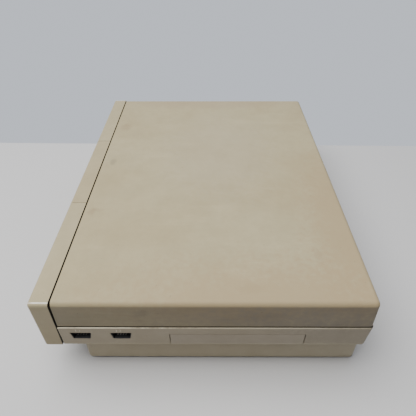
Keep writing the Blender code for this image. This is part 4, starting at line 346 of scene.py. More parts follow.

# %% [markdown]
# ### One plastic for each case piece
# The cover has yellowed towards its right and rear edges and carries a few brown spots along the bezel.
# Its walls carry painted shade, darker than its top, and the right-hand walls darken further towards the
# rear. The joints carry painted shade, the ledge under the seam a painted band of light, and the bezel's
# end corners a painted highlight. Each of these has a place, so the places are listed here, measured from
# the imported boxes. Two measures differ from the imported model: the joint behind the bezel sits 2.2 mm
# further back, and the rim stands 1.2 mm proud of the cover, which, helped by the painted light, makes the
# ledge as bright and as wide as on the real case.

# %% Mix the case plastics
COVER_Z = cad_box[1].z
TONGUE_HEIGHT = 0.004
SEAM_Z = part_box("lower_case")[1].z - TONGUE_HEIGHT
SIDE_X, BACK_Y = cad_box[1].x, cad_box[1].y
JOINT_SETBACK = 0.0022
COVER_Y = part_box("top_cover")[0].y + JOINT_SETBACK
BEZEL_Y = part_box("memory_cover")[1].y + JOINT_SETBACK
BAND_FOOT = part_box("front_bezel")[0].z
LEDGE = 0.0012
BROWN = (0.20, 0.13, 0.07)
PINK_AGED = (0.348, 0.268, 0.150)
# The tint of the painted shade on the cover's walls.
COVER_WALL_SHADE = (0.55, 0.555, 0.62)
# The colour of painted shade on the right-hand walls.
SIDE_SHADE = (0.285, 0.250, 0.180)
# Yellowing and brown spots on the cover, and painted shade on its right wall.
COVER_STAINS_AND_SHADE = (
    ((0.232, 0.060, COVER_Z), (0.095, 0.230, 0.05), PINK_AGED, 0.75),
    ((0.120, 0.170, COVER_Z), (0.220, 0.080, 0.05), PINK_AGED, 0.65),
    ((-0.208, 0.0, COVER_Z), (0.026, 0.200, 0.05), (0.345, 0.275, 0.185), 0.45),
    ((-0.050, 0.020, COVER_Z), (0.160, 0.110, 0.05), (0.405, 0.352, 0.262), 0.30),
    ((0.089, -0.135, COVER_Z), (0.010, 0.006, 0.03), BROWN, 0.26),
    ((0.086, -0.128, COVER_Z), (0.005, 0.010, 0.03), BROWN, 0.16),
    ((-0.020, -0.130, COVER_Z), (0.011, 0.006, 0.03), (0.15, 0.13, 0.09), 0.34),
    ((-0.122, -0.128, COVER_Z), (0.016, 0.010, 0.03), BROWN, 0.26),
    ((-0.100, -0.110, COVER_Z), (0.020, 0.016, 0.03), (0.24, 0.19, 0.12), 0.14),
    ((0.205, 0.045, COVER_Z), (0.008, 0.020, 0.03), (0.26, 0.20, 0.10), 0.16),
    ((0.160, 0.118, COVER_Z), (0.016, 0.008, 0.03), (0.24, 0.18, 0.11), 0.18),
    ((0.224, -0.060, COVER_Z - 0.014), (0.02, 0.010, 0.008), (0.12, 0.11, 0.09), 0.16),
    ((0.224, 0.105, COVER_Z - 0.012), (0.02, 0.018, 0.010), (0.12, 0.11, 0.10), 0.14),
    # Painted shade: the cover's right wall darkens away from the bezel.
    ((SIDE_X + 0.002, 0.110, COVER_Z - 0.025), (0.006, 0.230, 0.040), SIDE_SHADE, 0.80),
)
# A painted highlight along each of the bezel's end corners: a thin pale line at the top of the round.
PAINTED_EDGE_HIGHLIGHT = tuple(
    (
        (side * (SIDE_X - 0.0032), BEZEL_Y - 0.009, COVER_Z),
        (0.0010, 0.016, 0.004),
        (0.82, 0.79, 0.70),
        0.95,
    )
    for side in (-1, 1)
)
# A painted band of light on the ledge under the seam, brightest near the bezel and fading towards the rear.
PAINTED_LEDGE_LIGHT = tuple(
    ((side * SIDE_X, y, SEAM_Z + 0.0001), (0.0024, length, 0.0008), (0.86, 0.80, 0.58), share)
    for side in (-1, 1)
    for y, length, share in ((-0.110, 0.095, 1.0), (0.060, 0.130, 0.45))
)
# Painted shade: the lower case's right wall darkens away from the bezel.
BAND_SHADE = (((SIDE_X + 0.002, 0.160, SEAM_Z - 0.014), (0.009, 0.150, 0.035), SIDE_SHADE, 0.60),)
cover_plastic = case_plastic(
    "cover_plastic",
    (0.388, 0.338, 0.208),
    (0.355, 0.295, 0.168),
    0.7,
    0.35,
    COVER_STAINS_AND_SHADE,
    # Painted shade in the joint behind the bezel, and along the foot of the skirt at the seam.
    shaded_gaps=((("Y", COVER_Y + 0.0003, -1),), (("Z", SEAM_Z + 0.0018, -1),)),
    # Painted shade on the walls below the roof's round.
    shaded_walls=(COVER_Z - 0.0042, -1, COVER_WALL_SHADE),
)
lower_plastic = case_plastic(
    "lower_plastic",
    (0.392, 0.347, 0.250),
    (0.368, 0.312, 0.210),
    0.5,
    0.25,
    # Painted shade on the right wall, and a painted band of light on the ledge.
    BAND_SHADE + PAINTED_LEDGE_LIGHT,
    # Painted shade on the ledge and tongue inside the rim, under the cover.
    shaded_gaps=((("X", SIDE_X - LEDGE, -1), ("Z", SEAM_Z - 0.0002, 1), ("Y", BACK_Y - 0.0007, -1)),),
    # Painted shade on the walls above the plinth.
    shaded_walls=(BAND_FOOT + 0.0015, 1, (0.78, 0.77, 0.80)),
)
bezel_plastic = case_plastic(
    "bezel_plastic",
    (0.390, 0.342, 0.218),
    (0.360, 0.303, 0.180),
    0.5,
    0.25,
    # A painted highlight on the end corners.
    PAINTED_EDGE_HIGHLIGHT,
    # Painted shade on the back face, in the joint with the cover.
    shaded_gaps=((("Y", BEZEL_Y - 0.0003, 1),),),
    # Painted shade on the ends and face below the top.
    shaded_walls=(COVER_Z - 0.0040, -1, (0.82, 0.80, 0.83)),
)
door_plastic = case_plastic(
    # Painted shade on the back face, in the joint with the bezel.
    "door_plastic", (0.376, 0.322, 0.200), (0.350, 0.288, 0.168), 0.5, 0.2, shaded_gaps=(
        (("Y", BEZEL_Y - 0.0003, 1),),
    )
)
side_plastic = case_plastic(
    "side_door_plastic",
    (0.390, 0.345, 0.256),
    (0.370, 0.315, 0.226),
    0.4,
    0.2,
    # Painted shade on the wall above the plinth.
    shaded_walls=(BAND_FOOT + 0.0015, 1, (0.78, 0.77, 0.80)),
)
# A lighter copy of the case plastic for the raised port figures and ticks: a painted highlight.
figure_highlight_plastic = case_plastic("figure_highlight_plastic", (0.50, 0.46, 0.35), (0.46, 0.41, 0.29), 0.4, 0.2)
print("case plastics:", [m.name for m in bpy.data.materials if m.name.endswith("_plastic")])

# %% [markdown]
# ## Modelling helpers
# Every piece starts from a primitive at its own size and place. Its faces, edges or points are then
# chosen in code by where they are, and an edit-mode tool shapes them. Where two pieces of stock are
# joined, or an opening is cut, a Boolean modifier is applied. At the end a narrow bevel breaks the sharp
# edges, because it is the thin bright line along an edge that makes a moulding look real.

# %% Stock


def select_only(piece):
    bpy.ops.object.select_all(action="DESELECT")
    piece.select_set(True)
    bpy.context.view_layer.objects.active = piece


def settle(piece, name):
    """Names a new primitive and puts its place into its mesh."""
    piece.name = name
    piece.data.name = name
    select_only(piece)
    bpy.ops.object.transform_apply(location=True, rotation=True, scale=True)
    return piece


def block(name, low, high):
    """A box between two corners, given in millimetres."""
    low, high = Vector(low) * MM, Vector(high) * MM
    bpy.ops.mesh.primitive_cube_add(size=1.0, location=(low + high) / 2)
    piece = bpy.context.active_object
    piece.scale = high - low
    return settle(piece, name)


def rod(name, radius, start, end, sides=32, tip=None):
    """A cylinder between two points in millimetres, or a cone where the tip has a radius of its own."""
    start, end = Vector(start) * MM, Vector(end) * MM
    bpy.ops.mesh.primitive_cone_add(
        vertices=sides,
        radius1=radius * MM,
        radius2=(radius if tip is None else tip) * MM,
        depth=(end - start).length,
        location=(start + end) / 2,
        rotation=(end - start).to_track_quat("Z", "Y").to_euler(),
    )
    return settle(bpy.context.active_object, name)


print("stock ready: block and rod")

# %% [markdown]
# ### Choosing by place
# By hand, faces and edges are clicked on. In a script they are chosen by a test on where their points
# lie, so the choice stays right when a size changes. The tests are small functions that others combine.

# %% Shaping tools


def shape(piece, kind, chosen, tool, **settings):
    """Selects the faces, edges or verts that chosen() accepts, and runs an edit-mode tool on them."""
    select_only(piece)
    bpy.ops.object.mode_set(mode="EDIT")
    bpy.ops.mesh.select_mode(type={"faces": "FACE", "edges": "EDGE", "verts": "VERT"}[kind])
    bpy.ops.mesh.select_all(action="DESELECT")
    mesh = bmesh.from_edit_mesh(piece.data)
    for item in getattr(mesh, kind):
        item.select_set(bool(chosen(item)))
    mesh.select_flush_mode()
    bmesh.update_edit_mesh(piece.data)
    tool(**settings)
    bpy.ops.object.mode_set(mode="OBJECT")
    return piece


def level(axis, at, within=0.06):
    """A test: does a point lie on the plane at that many millimetres along the axis?"""
    return lambda p: abs(p[axis] / MM - at) < within


def beyond(axis, at):
    """A test: does a point lie past that many millimetres along the axis?"""
    return lambda p: p[axis] / MM > at


def points(*tests):
    """Accepts a vertex, an edge or a face when all of its points pass all the tests."""
    def accepts(item):
        ends = [item] if isinstance(item, bmesh.types.BMVert) else item.verts
        return all(test(v.co) for v in ends for test in tests)
    return accepts


def upright(edge):
    a, b = (v.co for v in edge.verts)
    return abs(a.z - b.z) > 0.9 * (a - b).length


def along(axis):
    def accepts(edge):
        a, b = (v.co for v in edge.verts)
        return abs(a[axis] - b[axis]) > 0.9 * (a - b).length
    return accepts


def move(piece, test, shift):
    """Moves the points that pass a test by a shift in millimetres."""
    return shape(piece, "verts", points(test), bpy.ops.transform.translate, value=Vector(shift) * MM)


def round_off(piece, kind, chosen, radius, segments=8):
    """Bevels the chosen edges to a radius in millimetres."""
    return shape(
        piece, kind, chosen, bpy.ops.mesh.bevel, offset=radius * MM, segments=segments, affect="EDGES"
    )


print("shaping tools ready")

# %% [markdown]
# ### Cutting, joining and finishing
# A Boolean modifier does what a saw, a drill or glue does, and it is applied at once, so the next tool
# works on real edges. The exact solver is slower than the fast one, but it keeps flat faces flat and
# leaves no holes.

# %% Cutting and finishing tools


def boolean(piece, how, tools):
    for tool in tools:
        step = piece.modifiers.new("step", "BOOLEAN")
        step.operation = how
        step.solver = "EXACT"
        step.object = tool
        select_only(piece)
        bpy.ops.object.modifier_apply(modifier=step.name)
        bpy.data.objects.remove(tool)
    return piece


def carve(piece, *tools):
    return boolean(piece, "DIFFERENCE", tools)


def join(piece, *tools):
    return boolean(piece, "UNION", tools)


def trim(piece, *tools):
    return boolean(piece, "INTERSECT", tools)


def merge(piece, *others):
    """Puts loose pieces into one object without cutting them."""
    select_only(piece)
    for other in others:
        other.select_set(True)
    bpy.ops.object.join()
    return piece


def soften(piece, width=0.25, segments=2, angle=32.0):
    """Breaks the sharp edges of a piece, and smooths it with its flats kept flat."""
    select_only(piece)
    edge = piece.modifiers.new("edge", "BEVEL")
    edge.width = width * MM
    edge.segments = segments
    edge.limit_method = "ANGLE"
    edge.angle_limit = math.radians(angle)
    edge.use_clamp_overlap = True
    edge.harden_normals = False
    bpy.ops.object.modifier_apply(modifier=edge.name)
    return smooth(piece)


def smooth(piece, angle=50.0):
    select_only(piece)
    bpy.ops.object.shade_smooth_by_angle(angle=math.radians(angle))
    flat = piece.modifiers.new("flat", "WEIGHTED_NORMAL")
    flat.keep_sharp = True
    bpy.ops.object.modifier_apply(modifier=flat.name)
    return piece


def dress(piece, finish, body, slot, *nodes):
    """Gives a finished piece its finish and its body, and hides the nodes that it stands for. The slot is
    not used.
    """
    piece.data.materials.clear()
    piece.data.materials.append(finish)
    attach(piece, body)
    if nodes:
        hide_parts(*nodes)
    return piece


def node_box(name):
    """A node's lowest and highest corners in millimetres."""
    low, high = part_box(name)
    return low / MM, high / MM


def middle(name):
    low, high = node_box(name)
    return (low + high) / 2


print("cutting tools ready")

# %% [markdown]
# ## Measures of the case
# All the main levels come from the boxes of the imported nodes: the rim of the lower case, the seam above
# it, the deck, and the back of the bezel. Only wall thicknesses, rounds and drafts are added here,
# because a box can't show them.

# %% Measure the case
LOW, HIGH = (corner / MM for corner in cad_box)
HALF, BACK, TOP = HIGH.x, HIGH.y, HIGH.z
FRONT = LOW.y
TONGUE = TONGUE_HEIGHT / MM
RIM = node_box("lower_case")[1].z - TONGUE
SEAM = 1.4
SKIRT = RIM + SEAM
DECK_UNDER = node_box("front_bezel")[0].z
CASE_FRONT = COVER_Y / MM
BEZEL_BACK = BEZEL_Y / MM
WALL = 3.0
DECK = DECK_UNDER + WALL
ROOF = TOP - WALL
SIDE_STEP, BACK_STEP, BEZEL_STEP = LEDGE / MM, 0.4, 0.6
COVER_DRAFT, LOWER_DRAFT = 0.7, 1.4
CORNER = 5.0
VENT_X = middle("fan_frame").x
VENT_WIDTH, VENT_PITCH = 2.4, 5.0
BACK_SLOTS, SIDE_SLOTS, SIDE_VENT_Y = 9, 12, 25.0
BACK_CUT = (BACK - 6, BACK + 2)
EDGE_BREAK = 0.22
POSTS = [middle(f"case_screw_{i + 1}").xy for i in range(4)]
print("rim", round(RIM, 1), "deck", round(DECK, 1), "seam to", round(SKIRT, 1), "posts", len(POSTS))

# %% [markdown]
# ## The top cover
# The cover is one thin moulding: a flat roof, three drafted sides and a 5 mm round where they meet. Its
# outside comes first: a block whose roof is drawn in a little, with its edges bevelled in ten steps. A
# second block, smaller by the wall and with tighter rounds, is carved out of it, so the wall is the same
# all over. Slots with round ends are cut for the fan's air, and ribs and screw bosses are joined on under
# the roof.

# %% Build the top cover


def shell_block(name, half, front, back, low, high, draft, radius, lean_high, segments=10):
    """A block with one open front: its top or bottom drawn in on three sides, and its edges rounded."""
    piece = block(name, (-half, front, low), (half, back, high))
    drawn = high if lean_high else low
    for s in (-1, 1):
        move(piece, lambda p: level(2, drawn)(p) and p.x * s > 0, (-s * draft, 0, 0))
    move(piece, lambda p: level(2, drawn)(p) and level(1, back)(p), (0, -draft, 0))
    behind = (front + back) / 2

    def outer(edge):
        roof = points(level(2, high))(edge) and not points(level(1, front))(edge)
        corner = upright(edge) and points(beyond(1, behind))(edge)
        return corner or (roof and lean_high)

    return round_off(piece, "edges", outer, radius, segments)


def slot_cutters(count, centre, pitch, width, low, high, across, reach):
    """Upright slots with round ends, in a row along X or Y; reach is the span that they cut through."""
    cutters = []
    for i in range(count):
        at = centre + (i - (count - 1) / 2) * pitch
        if across == "X":
            cutter = block(f"slot_{i}", (at - width / 2, reach[0], low), (at + width / 2, reach[1], high))
        else:
            cutter = block(f"slot_{i}", (reach[0], at - width / 2, low), (reach[1], at + width / 2, high))
        round_off(cutter, "edges", along(1 if across == "X" else 0), width * 0.49, 4)
        cutters.append(cutter)
    return cutters


cover_half, cover_back = HALF - SIDE_STEP, BACK - BACK_STEP
cover = shell_block(
    "case_cover", cover_half, CASE_FRONT, cover_back, SKIRT, TOP, COVER_DRAFT, CORNER, True
)
hollow_half, hollow_back = cover_half - WALL, cover_back - WALL
inner = shell_block(
    "cover_hollow", hollow_half, CASE_FRONT - 1, hollow_back, SKIRT - 1, ROOF, COVER_DRAFT, 2.0, True, 5
)
carve(cover, inner)
carve(
    cover, *slot_cutters(BACK_SLOTS, VENT_X, VENT_PITCH, VENT_WIDTH, SKIRT + 4, ROOF - 4, "X", BACK_CUT)
)
RIBS, RIB_PITCH, RIB_START = 4, 45, 20
supply_right = node_box("supply_case")[1].x
for i in range(RIBS):
    rib_x = supply_right + RIB_START + RIB_PITCH * i
    join(
        cover,
        block("rib", (rib_x - 1, CASE_FRONT + 10, ROOF - 1.5), (rib_x + 1, cover_back - 1.5, ROOF + 1)),
    )
BOSS_RADIUS, BOSS_BORE, BOSS_DEPTH = 4.0, 2.0, 14.7
boss_foot = node_box("top_cover")[0].z
for x, y in POSTS:
    join(cover, rod("boss", BOSS_RADIUS, (x, y, boss_foot), (x, y, ROOF + 1), 32))
    carve(cover, rod("boss_bore", BOSS_BORE, (x, y, boss_foot - 1), (x, y, boss_foot + BOSS_DEPTH), 20))
dress(soften(cover, EDGE_BREAK), cover_plastic, "case", "beige_plastic", "top_cover")
print("cover:", len(cover.data.polygons), "faces")

# %% [markdown]
# ## The lower case
# The lower case is the other half of the shell, and it carries everything: a deck with three low walls, a
# hollow U-shaped plinth under it that leaves room for the keyboard, posts for the screws, and a thin
# tongue round the rim that keeps the cover in line. It is built up as a mould maker would think of it.
# First the tray, then the plinth joined on and hollowed, then the inner ribs and posts, and last every
# opening.

# %% Build the tray and the plinth
PLINTH_INSET, RAIL_WIDTH, FOOT = 10.5, 18.0, 2.5
RAIL_OUT = HALF - PLINTH_INSET
RAIL_IN = RAIL_OUT - RAIL_WIDTH
RAIL_FRONT = FRONT + 36.5
PLINTH_BACK = BACK - LOWER_DRAFT - 0.7
PLINTH_CORNER, PLINTH_EDGE = 5.0, 2.8
BAY_BACK = FRONT + 215.0


def u_block(name, inset, low, high):
    """The U of the plinth, drawn in by an inset: a slab whose middle front is cut away."""
    rail_front = RAIL_FRONT + inset
    piece = block(
        name, (-RAIL_OUT + inset, rail_front, low), (RAIL_OUT - inset, PLINTH_BACK - inset, high)
    )
    bay = (-RAIL_IN - inset, rail_front - 9, low - 1), (RAIL_IN + inset, BAY_BACK + inset, high + 1)
    return carve(piece, block("bay", *bay))


lower = shell_block(
    "case_base", HALF, CASE_FRONT, BACK, DECK_UNDER, RIM, LOWER_DRAFT, CORNER, False
)
hollow = shell_block(
    "tray_hollow", HALF - WALL, CASE_FRONT - 1, BACK - WALL, DECK, RIM, LOWER_DRAFT, 2.0, False, 5
)
move(hollow, level(2, RIM), (0, 0, 1.0))
carve(lower, hollow)
plinth = u_block("plinth", 0.0, FOOT, DECK_UNDER + 1)
round_off(plinth, "edges", upright, PLINTH_CORNER, 8)
round_off(plinth, "edges", points(level(2, FOOT)), PLINTH_EDGE, 6)
join(lower, plinth)
carve(lower, u_block("plinth_hollow", WALL, FOOT + WALL, DECK + 1))
print("tray and plinth:", len(lower.data.polygons), "faces")

# %% [markdown]
# ### Tongue, ribs and posts
# A thin tongue stands up inside the rim, and the cover's walls close round it, so the two halves can't
# slide. It has to run parallel to the cover, not to the leaning wall below, so it is a strip of its own
# with a root that ties it to the wall. The posts take the case screws from below: a bore for the thread
# and a wider one for the head.

# %% Add the tongue, ribs and posts
TONGUE_PLAY = 0.4
tongue_out, tongue_back = HALF - SIDE_STEP - WALL - TONGUE_PLAY, BACK - BACK_STEP - WALL - TONGUE_PLAY
for s in (-1, 1):
    span = sorted((s * (tongue_out - 1.2), s * tongue_out))
    join(
        lower,
        block("tongue", (span[0], CASE_FRONT + 8, RIM - 6), (span[1], tongue_back - 0.6, RIM + TONGUE)),
    )
    span = sorted((s * (tongue_out - 1.0), s * (HALF - 1.5)))
    join(
        lower,
        block(
            "tongue_root", (span[0], CASE_FRONT + 8.5, RIM - 5), (span[1], tongue_back - 1.8, RIM - 1.5)
        ),
    )
join(
    lower,
    block(
        "back_tongue",
        (0.4 - tongue_out, tongue_back - 1.2, RIM - 1.8),
        (tongue_out - 0.4, tongue_back, RIM + 3.7),
    ),
    block(
        "back_root",
        (1.6 - tongue_out, tongue_back - 0.6, RIM - 1.5),
        (tongue_out - 1.6, BACK - 1.5, RIM - 0.5),
    ),
)
for i in (-1, 0, 1):
    rib_x = i * RAIL_IN / 2
    join(
        lower,
        block(
            "bay_rib", (rib_x - 1, BAY_BACK + 1.5, FOOT + 1.5), (rib_x + 1, PLINTH_BACK - 1.5, DECK_UNDER)
        ),
    )
POST_TOP = DECK + 14.0
POST_RADIUS, POST_BORE, HEAD_BORE, HEAD_DEPTH = 4.5, 2.2, 4.0, 3.7
for x, y in POSTS:
    floor_z = DECK_UNDER if y < 0 else FOOT
    join(lower, rod("post", POST_RADIUS, (x, y, floor_z + 1), (x, y, POST_TOP), 32))
    carve(lower, rod("post_bore", POST_BORE, (x, y, floor_z - 1), (x, y, POST_TOP + 1), 24))
    carve(lower, rod("post_head", HEAD_BORE, (x, y, floor_z - 1), (x, y, floor_z + HEAD_DEPTH), 32))
print("posts joined:", len(lower.data.polygons), "faces")

# %% [markdown]
# ### The openings of the lower case
# The game ports are D-shaped holes whose ends lean in at 11 degrees, wide side up. A D like that is a
# block with its lower edges drawn in, turned into place and rounded. The side expansion opening is cut up
# from the deck's underside, so that its cover can carry a return under the case.

# %% Cut the game ports
PORT_SHIFT = 0.6
PORT_Y = [middle(f"controller_port_{i + 1}").y + PORT_SHIFT for i in range(2)]
PORT_Z = middle("controller_port_1").z + PORT_SHIFT
PORT_WIDTH, PORT_HEIGHT, PORT_LEAN, PORT_CORNER = 21.4, 10.8, 11, 1.2


def d_block(name, width, height, deep, lean_angle, corner, place, facing):
    """A D-shaped block, wide side up, lying along X or Y with its middle at place."""
    inset = height * math.tan(math.radians(lean_angle))
    piece = block(name, (-width / 2, -deep / 2, -height / 2), (width / 2, deep / 2, height / 2))
    for s in (-1, 1):
        move(piece, lambda p: level(2, -height / 2)(p) and p.x * s > 0, (-s * inset, 0, 0))
    round_off(piece, "edges", along(1), corner, 5)
    if facing == "X":
        piece.rotation_euler.z = -math.pi / 2
    piece.location = Vector(place) * MM
    return settle(piece, name)


for y in PORT_Y:
    carve(
        lower,
        d_block(
            "port_hole",
            PORT_WIDTH,
            PORT_HEIGHT,
            14,
            PORT_LEAN,
            PORT_CORNER,
            (HALF - WALL, y, PORT_Z),
            "X",
        ),
    )
print("game ports:", len(PORT_Y), "each", PORT_WIDTH, "mm wide")

# %% [markdown]
# ### The other openings
# The rest are plain: a slot for the expansion cover, a window for the switch, a long window for the
# connector panel, a rounded one for the mains inlet, two rows of air slots, and a shallow round recess
# for each foot. What sits in an opening sets its size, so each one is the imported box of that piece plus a
# gap.

# %% Cut the side, back and foot openings
door_low, door_high = node_box("expansion_cover")
GAP, END_GAP = 0.35, 0.8
carve(
    lower,
    block(
        "expansion_hole",
        (door_low.x - GAP, door_low.y - END_GAP, DECK_UNDER - 1),
        (HALF + 1, door_high.y + END_GAP, door_high.z + GAP),
    ),
)
rocker_low, rocker_high = node_box("switch_housing")
carve(
    lower,
    block(
        "switch_hole",
        (-HALF - 1, rocker_low.y + 2, rocker_low.z + 1.2),
        (-HALF + 9, rocker_high.y - 2, rocker_high.z - 1.2),
    ),
)
panel_low, panel_high = node_box("io_panel")
window = block(
    "panel_window", (panel_low.x + 4, BACK - 6, DECK + 1.5), (panel_high.x - 2.5, BACK + 2, RIM - 2.6)
)
round_off(window, "edges", along(1), 1.5, 4)
inlet_x, inlet_z = middle("power_inlet").x, middle("power_inlet").z
INLET_HALF_W, INLET_HALF_H = 13.5, 9.8
inlet_hole = block(
    "inlet_hole",
    (inlet_x - INLET_HALF_W - GAP, BACK - 6, inlet_z - INLET_HALF_H - GAP),
    (inlet_x + INLET_HALF_W + GAP, BACK + 2, inlet_z + INLET_HALF_H + GAP),
)
carve(lower, window, inlet_hole)
carve(lower, *slot_cutters(BACK_SLOTS, VENT_X, VENT_PITCH, VENT_WIDTH, DECK + 4, RIM - 5, "X", BACK_CUT))
SIDE_CUT = (-HALF - 2, -HALF + 6)
carve(
    lower,
    *slot_cutters(SIDE_SLOTS, SIDE_VENT_Y, VENT_PITCH, VENT_WIDTH, DECK + 4, RIM - 9, "Y", SIDE_CUT),
)
FEET = ("foot_front_left", "foot_front_right", "foot_rear_left", "foot_rear_right")
FOOT_RECESS = 6.85
for name in FEET:
    x, y = middle(name).xy
    carve(lower, rod("foot_recess", FOOT_RECESS, (x, y, 0), (x, y, FOOT + 1), 40))
dress(soften(lower, EDGE_BREAK), lower_plastic, "case", "beige_plastic", "lower_case")
print("lower case:", len(lower.data.polygons), "faces")

# %% [markdown]
# ### Port numbers
# Each game port has a short raised tick and a small figure moulded above it, 1 for the first and 2 for
# the second. A raised figure is a text curve with a small extrusion. It is turned into a mesh before it
# is placed, so its place goes into the mesh like that of every other piece.

# %% Mould the port figures


def figure(name, words, size, place, turn, rise=0.18):
    """A raised figure as a mesh, its face turned by the given angles. It stays inside the case's rim."""
    bpy.ops.object.text_add()
    text = bpy.context.active_object
    text.data.body = words
    text.data.size = size * MM
    text.data.extrude = rise * MM
    text.data.align_x = "CENTER"
    text.data.align_y = "CENTER"
    select_only(text)
    bpy.ops.object.convert(target="MESH")
    piece = bpy.context.active_object
    piece.rotation_euler = turn
    piece.location = Vector(place) * MM
    return settle(piece, name)


def wall_x(z):
    """Where the outside of the leaning wall is at a height."""
    return HALF - LOWER_DRAFT * (RIM - z) / (RIM - DECK_UNDER)


FIGURE_Z, FIGURE_SIZE = PORT_Z + 9.4, 4.6
FACING_RIGHT = (math.pi / 2, 0, math.pi / 2)
marks = []
for i, y in enumerate(PORT_Y):
    face_x = wall_x(FIGURE_Z)
    place = (face_x, y + 0.2, FIGURE_Z)
    number = figure(f"port_figure_{i + 1}", str(i + 1), FIGURE_SIZE, place, FACING_RIGHT)
    tick = block("tick", (face_x - 0.4, y - 4.1, FIGURE_Z - 2.0), (HALF - 0.02, y - 3.1, FIGURE_Z + 2.0))
    marks += [soften(tick, 0.05, 1), number]
port_figures = merge(marks[0], *marks[1:])
port_figures.name = "port_figures"
dress(port_figures, figure_highlight_plastic, "case", "beige_plastic")
print("figures on", len(PORT_Y), "ports")

# %% [markdown]
# ## The bezel
# The bezel is a full-height moulding over the whole front. Its face leans back a little towards the foot,
# and a thin groove runs across it, level with the seam of the case. The middle third comes off as a
# separate cover over the memory slot, so bezel and cover are cut from the same outer form, and their
# surfaces run through.

# %% Shape and hollow the bezel
LEAN, BEZEL_ROUND, SKIN = 1.5, 3.2, 3.4
END = HALF - BEZEL_STEP
DOOR_GAP = 0.6
memory_low, memory_high = node_box("memory_cover")
MEMORY_LEFT, MEMORY_RIGHT = memory_low.x - DOOR_GAP, memory_high.x + DOOR_GAP
MEMORY_X = (MEMORY_LEFT + MEMORY_RIGHT) / 2
face_low, face_high = node_box("drive_faceplate")
GROOVE_Z = (RIM + SKIRT) / 2


def bezel_block(name):
    """The outer form of the whole front, from end to end."""
    piece = block(name, (-END, FRONT, DECK_UNDER), (END, BEZEL_BACK, TOP))
    move(piece, lambda p: level(1, FRONT)(p) and level(2, DECK_UNDER)(p), (0, LEAN, 0))
    face = lambda p: p.y / MM < FRONT + 2 * LEAN
    head = lambda e: points(level(2, TOP))(e) and any(face(v.co) for v in e.verts)
    chosen = lambda e: head(e) or (points(face)(e) and not along(0)(e))
    return round_off(piece, "edges", chosen, BEZEL_ROUND, 8)


def groove_block():
    y = FRONT + LEAN * (TOP - GROOVE_Z) / (TOP - DECK_UNDER)
    return block("groove", (-HALF + 8, FRONT - 1, GROOVE_Z - 0.5), (HALF - 8, y + 0.8, GROOVE_Z + 0.5))


bezel = bezel_block("bezel")
inside_front = FRONT + LEAN + WALL
for x0, x1 in ((-END + WALL, MEMORY_LEFT - WALL), (MEMORY_RIGHT + WALL, END - WALL)):
    carve(bezel, block("bezel_hollow", (x0, inside_front, DECK), (x1, BEZEL_BACK + 1, ROOF)))
print("bezel hollowed:", len(bezel.data.polygons), "faces")

# %% [markdown]
# ### The bezel's openings
# Behind the memory cover the bezel steps back by the cover's thickness and keeps a frame with an opening
# for a memory card. The drive shows in a window on the right, and the power lamp in a small hole on the
# left.

# %% Cut the bezel
frame_face = FRONT + LEAN + SKIN
behind_bezel = BEZEL_BACK + 1
CARD_HALF, CARD_LOW, CARD_HIGH = 61.0, DECK + 7.0, DECK + 47.0
carve(
    bezel,
    block("skin_front", (MEMORY_LEFT, FRONT - 1, DECK_UNDER - 1), (MEMORY_RIGHT, frame_face, TOP + 1)),
    block("skin_top", (MEMORY_LEFT, FRONT - 1, TOP - SKIN), (MEMORY_RIGHT, behind_bezel, TOP + 1)),
    block(
        "skin_bottom",
        (MEMORY_LEFT, FRONT - 1, DECK_UNDER - 1),
        (MEMORY_RIGHT, behind_bezel, DECK_UNDER + SKIN),
    ),
    block(
        "frame_hollow",
        (MEMORY_LEFT, frame_face + 2.5, DECK_UNDER + SKIN + 2.5),
        (MEMORY_RIGHT, behind_bezel, TOP - SKIN - 3),
    ),
    block(
        "card_opening",
        (MEMORY_X - CARD_HALF, FRONT, CARD_LOW),
        (MEMORY_X + CARD_HALF, behind_bezel, CARD_HIGH),
    ),
    groove_block(),
    block(
        "drive_window",
        (face_low.x - GAP, FRONT - 1, face_low.z - GAP),
        (face_high.x + GAP, inside_front + 1, face_high.z + GAP),
    ),
)
LAMP_GAP, LAMP_HOLE_END = 0.25, -150.0
led_low, led_high = node_box("power_led")
carve(
    bezel,
    block(
        "lamp_hole",
        (led_low.x - LAMP_GAP, FRONT - 1, led_low.z - LAMP_GAP),
        (led_high.x + LAMP_GAP, LAMP_HOLE_END, led_high.z + LAMP_GAP),
    ),
)
print("bezel cut:", len(bezel.data.polygons), "faces")

# %% [markdown]
# ### Lips and tabs
# Lips reach back under the cover and inside the walls, and two tabs lie on the deck. Each is a thin strip
# with a root that ties it to the bezel's skin. The ends of a root stop short of the ends of its strip, so
# that no two faces fall in one plane, which a Boolean can't sort out.

# %% Add the lips and tabs
lip_side = HALF - LOWER_DRAFT - WALL - 0.8
lip_top = ROOF - 0.6
lip_root = BEZEL_BACK - 5
between = abs(POSTS[0].x) - 5.5
join(bezel, block("top_lip", (-between, lip_root, lip_top - 2), (between, BEZEL_BACK + 4, lip_top)))
for x0, x1 in ((-lip_side, MEMORY_LEFT - 1), (MEMORY_RIGHT + 1, lip_side)):
    join(
        bezel, block("lip_root", (x0, lip_root + 0.6, lip_top - 1.7), (x1, BEZEL_BACK - 0.8, ROOF + 1.5))
    )
for s in (-1, 1):
    thin = sorted((s * (lip_side - 2), s * lip_side))
    thick = sorted((s * (lip_side - 1), s * (END - 1.5)))
    join(
        bezel,
        block("side_lip", (thin[0], lip_root + 0.3, DECK + 4), (thin[1], BEZEL_BACK + 4, lip_top - 1)),
        block(
            "side_root",
            (thick[0], lip_root + 0.9, DECK + 4.5),
            (thick[1], BEZEL_BACK - 0.4, lip_top - 1.3),
        ),
    )
    x = s * (HALF - 70)
    join(
        bezel,
        block("tab", (x - 12, BEZEL_BACK - 8, DECK + 0.3), (x + 12, BEZEL_BACK + 10, DECK + 2.8)),
        block("tab_root", (x - 11, BEZEL_BACK - 7, DECK - 1.5), (x + 11, BEZEL_BACK - 1, DECK + 0.9)),
    )
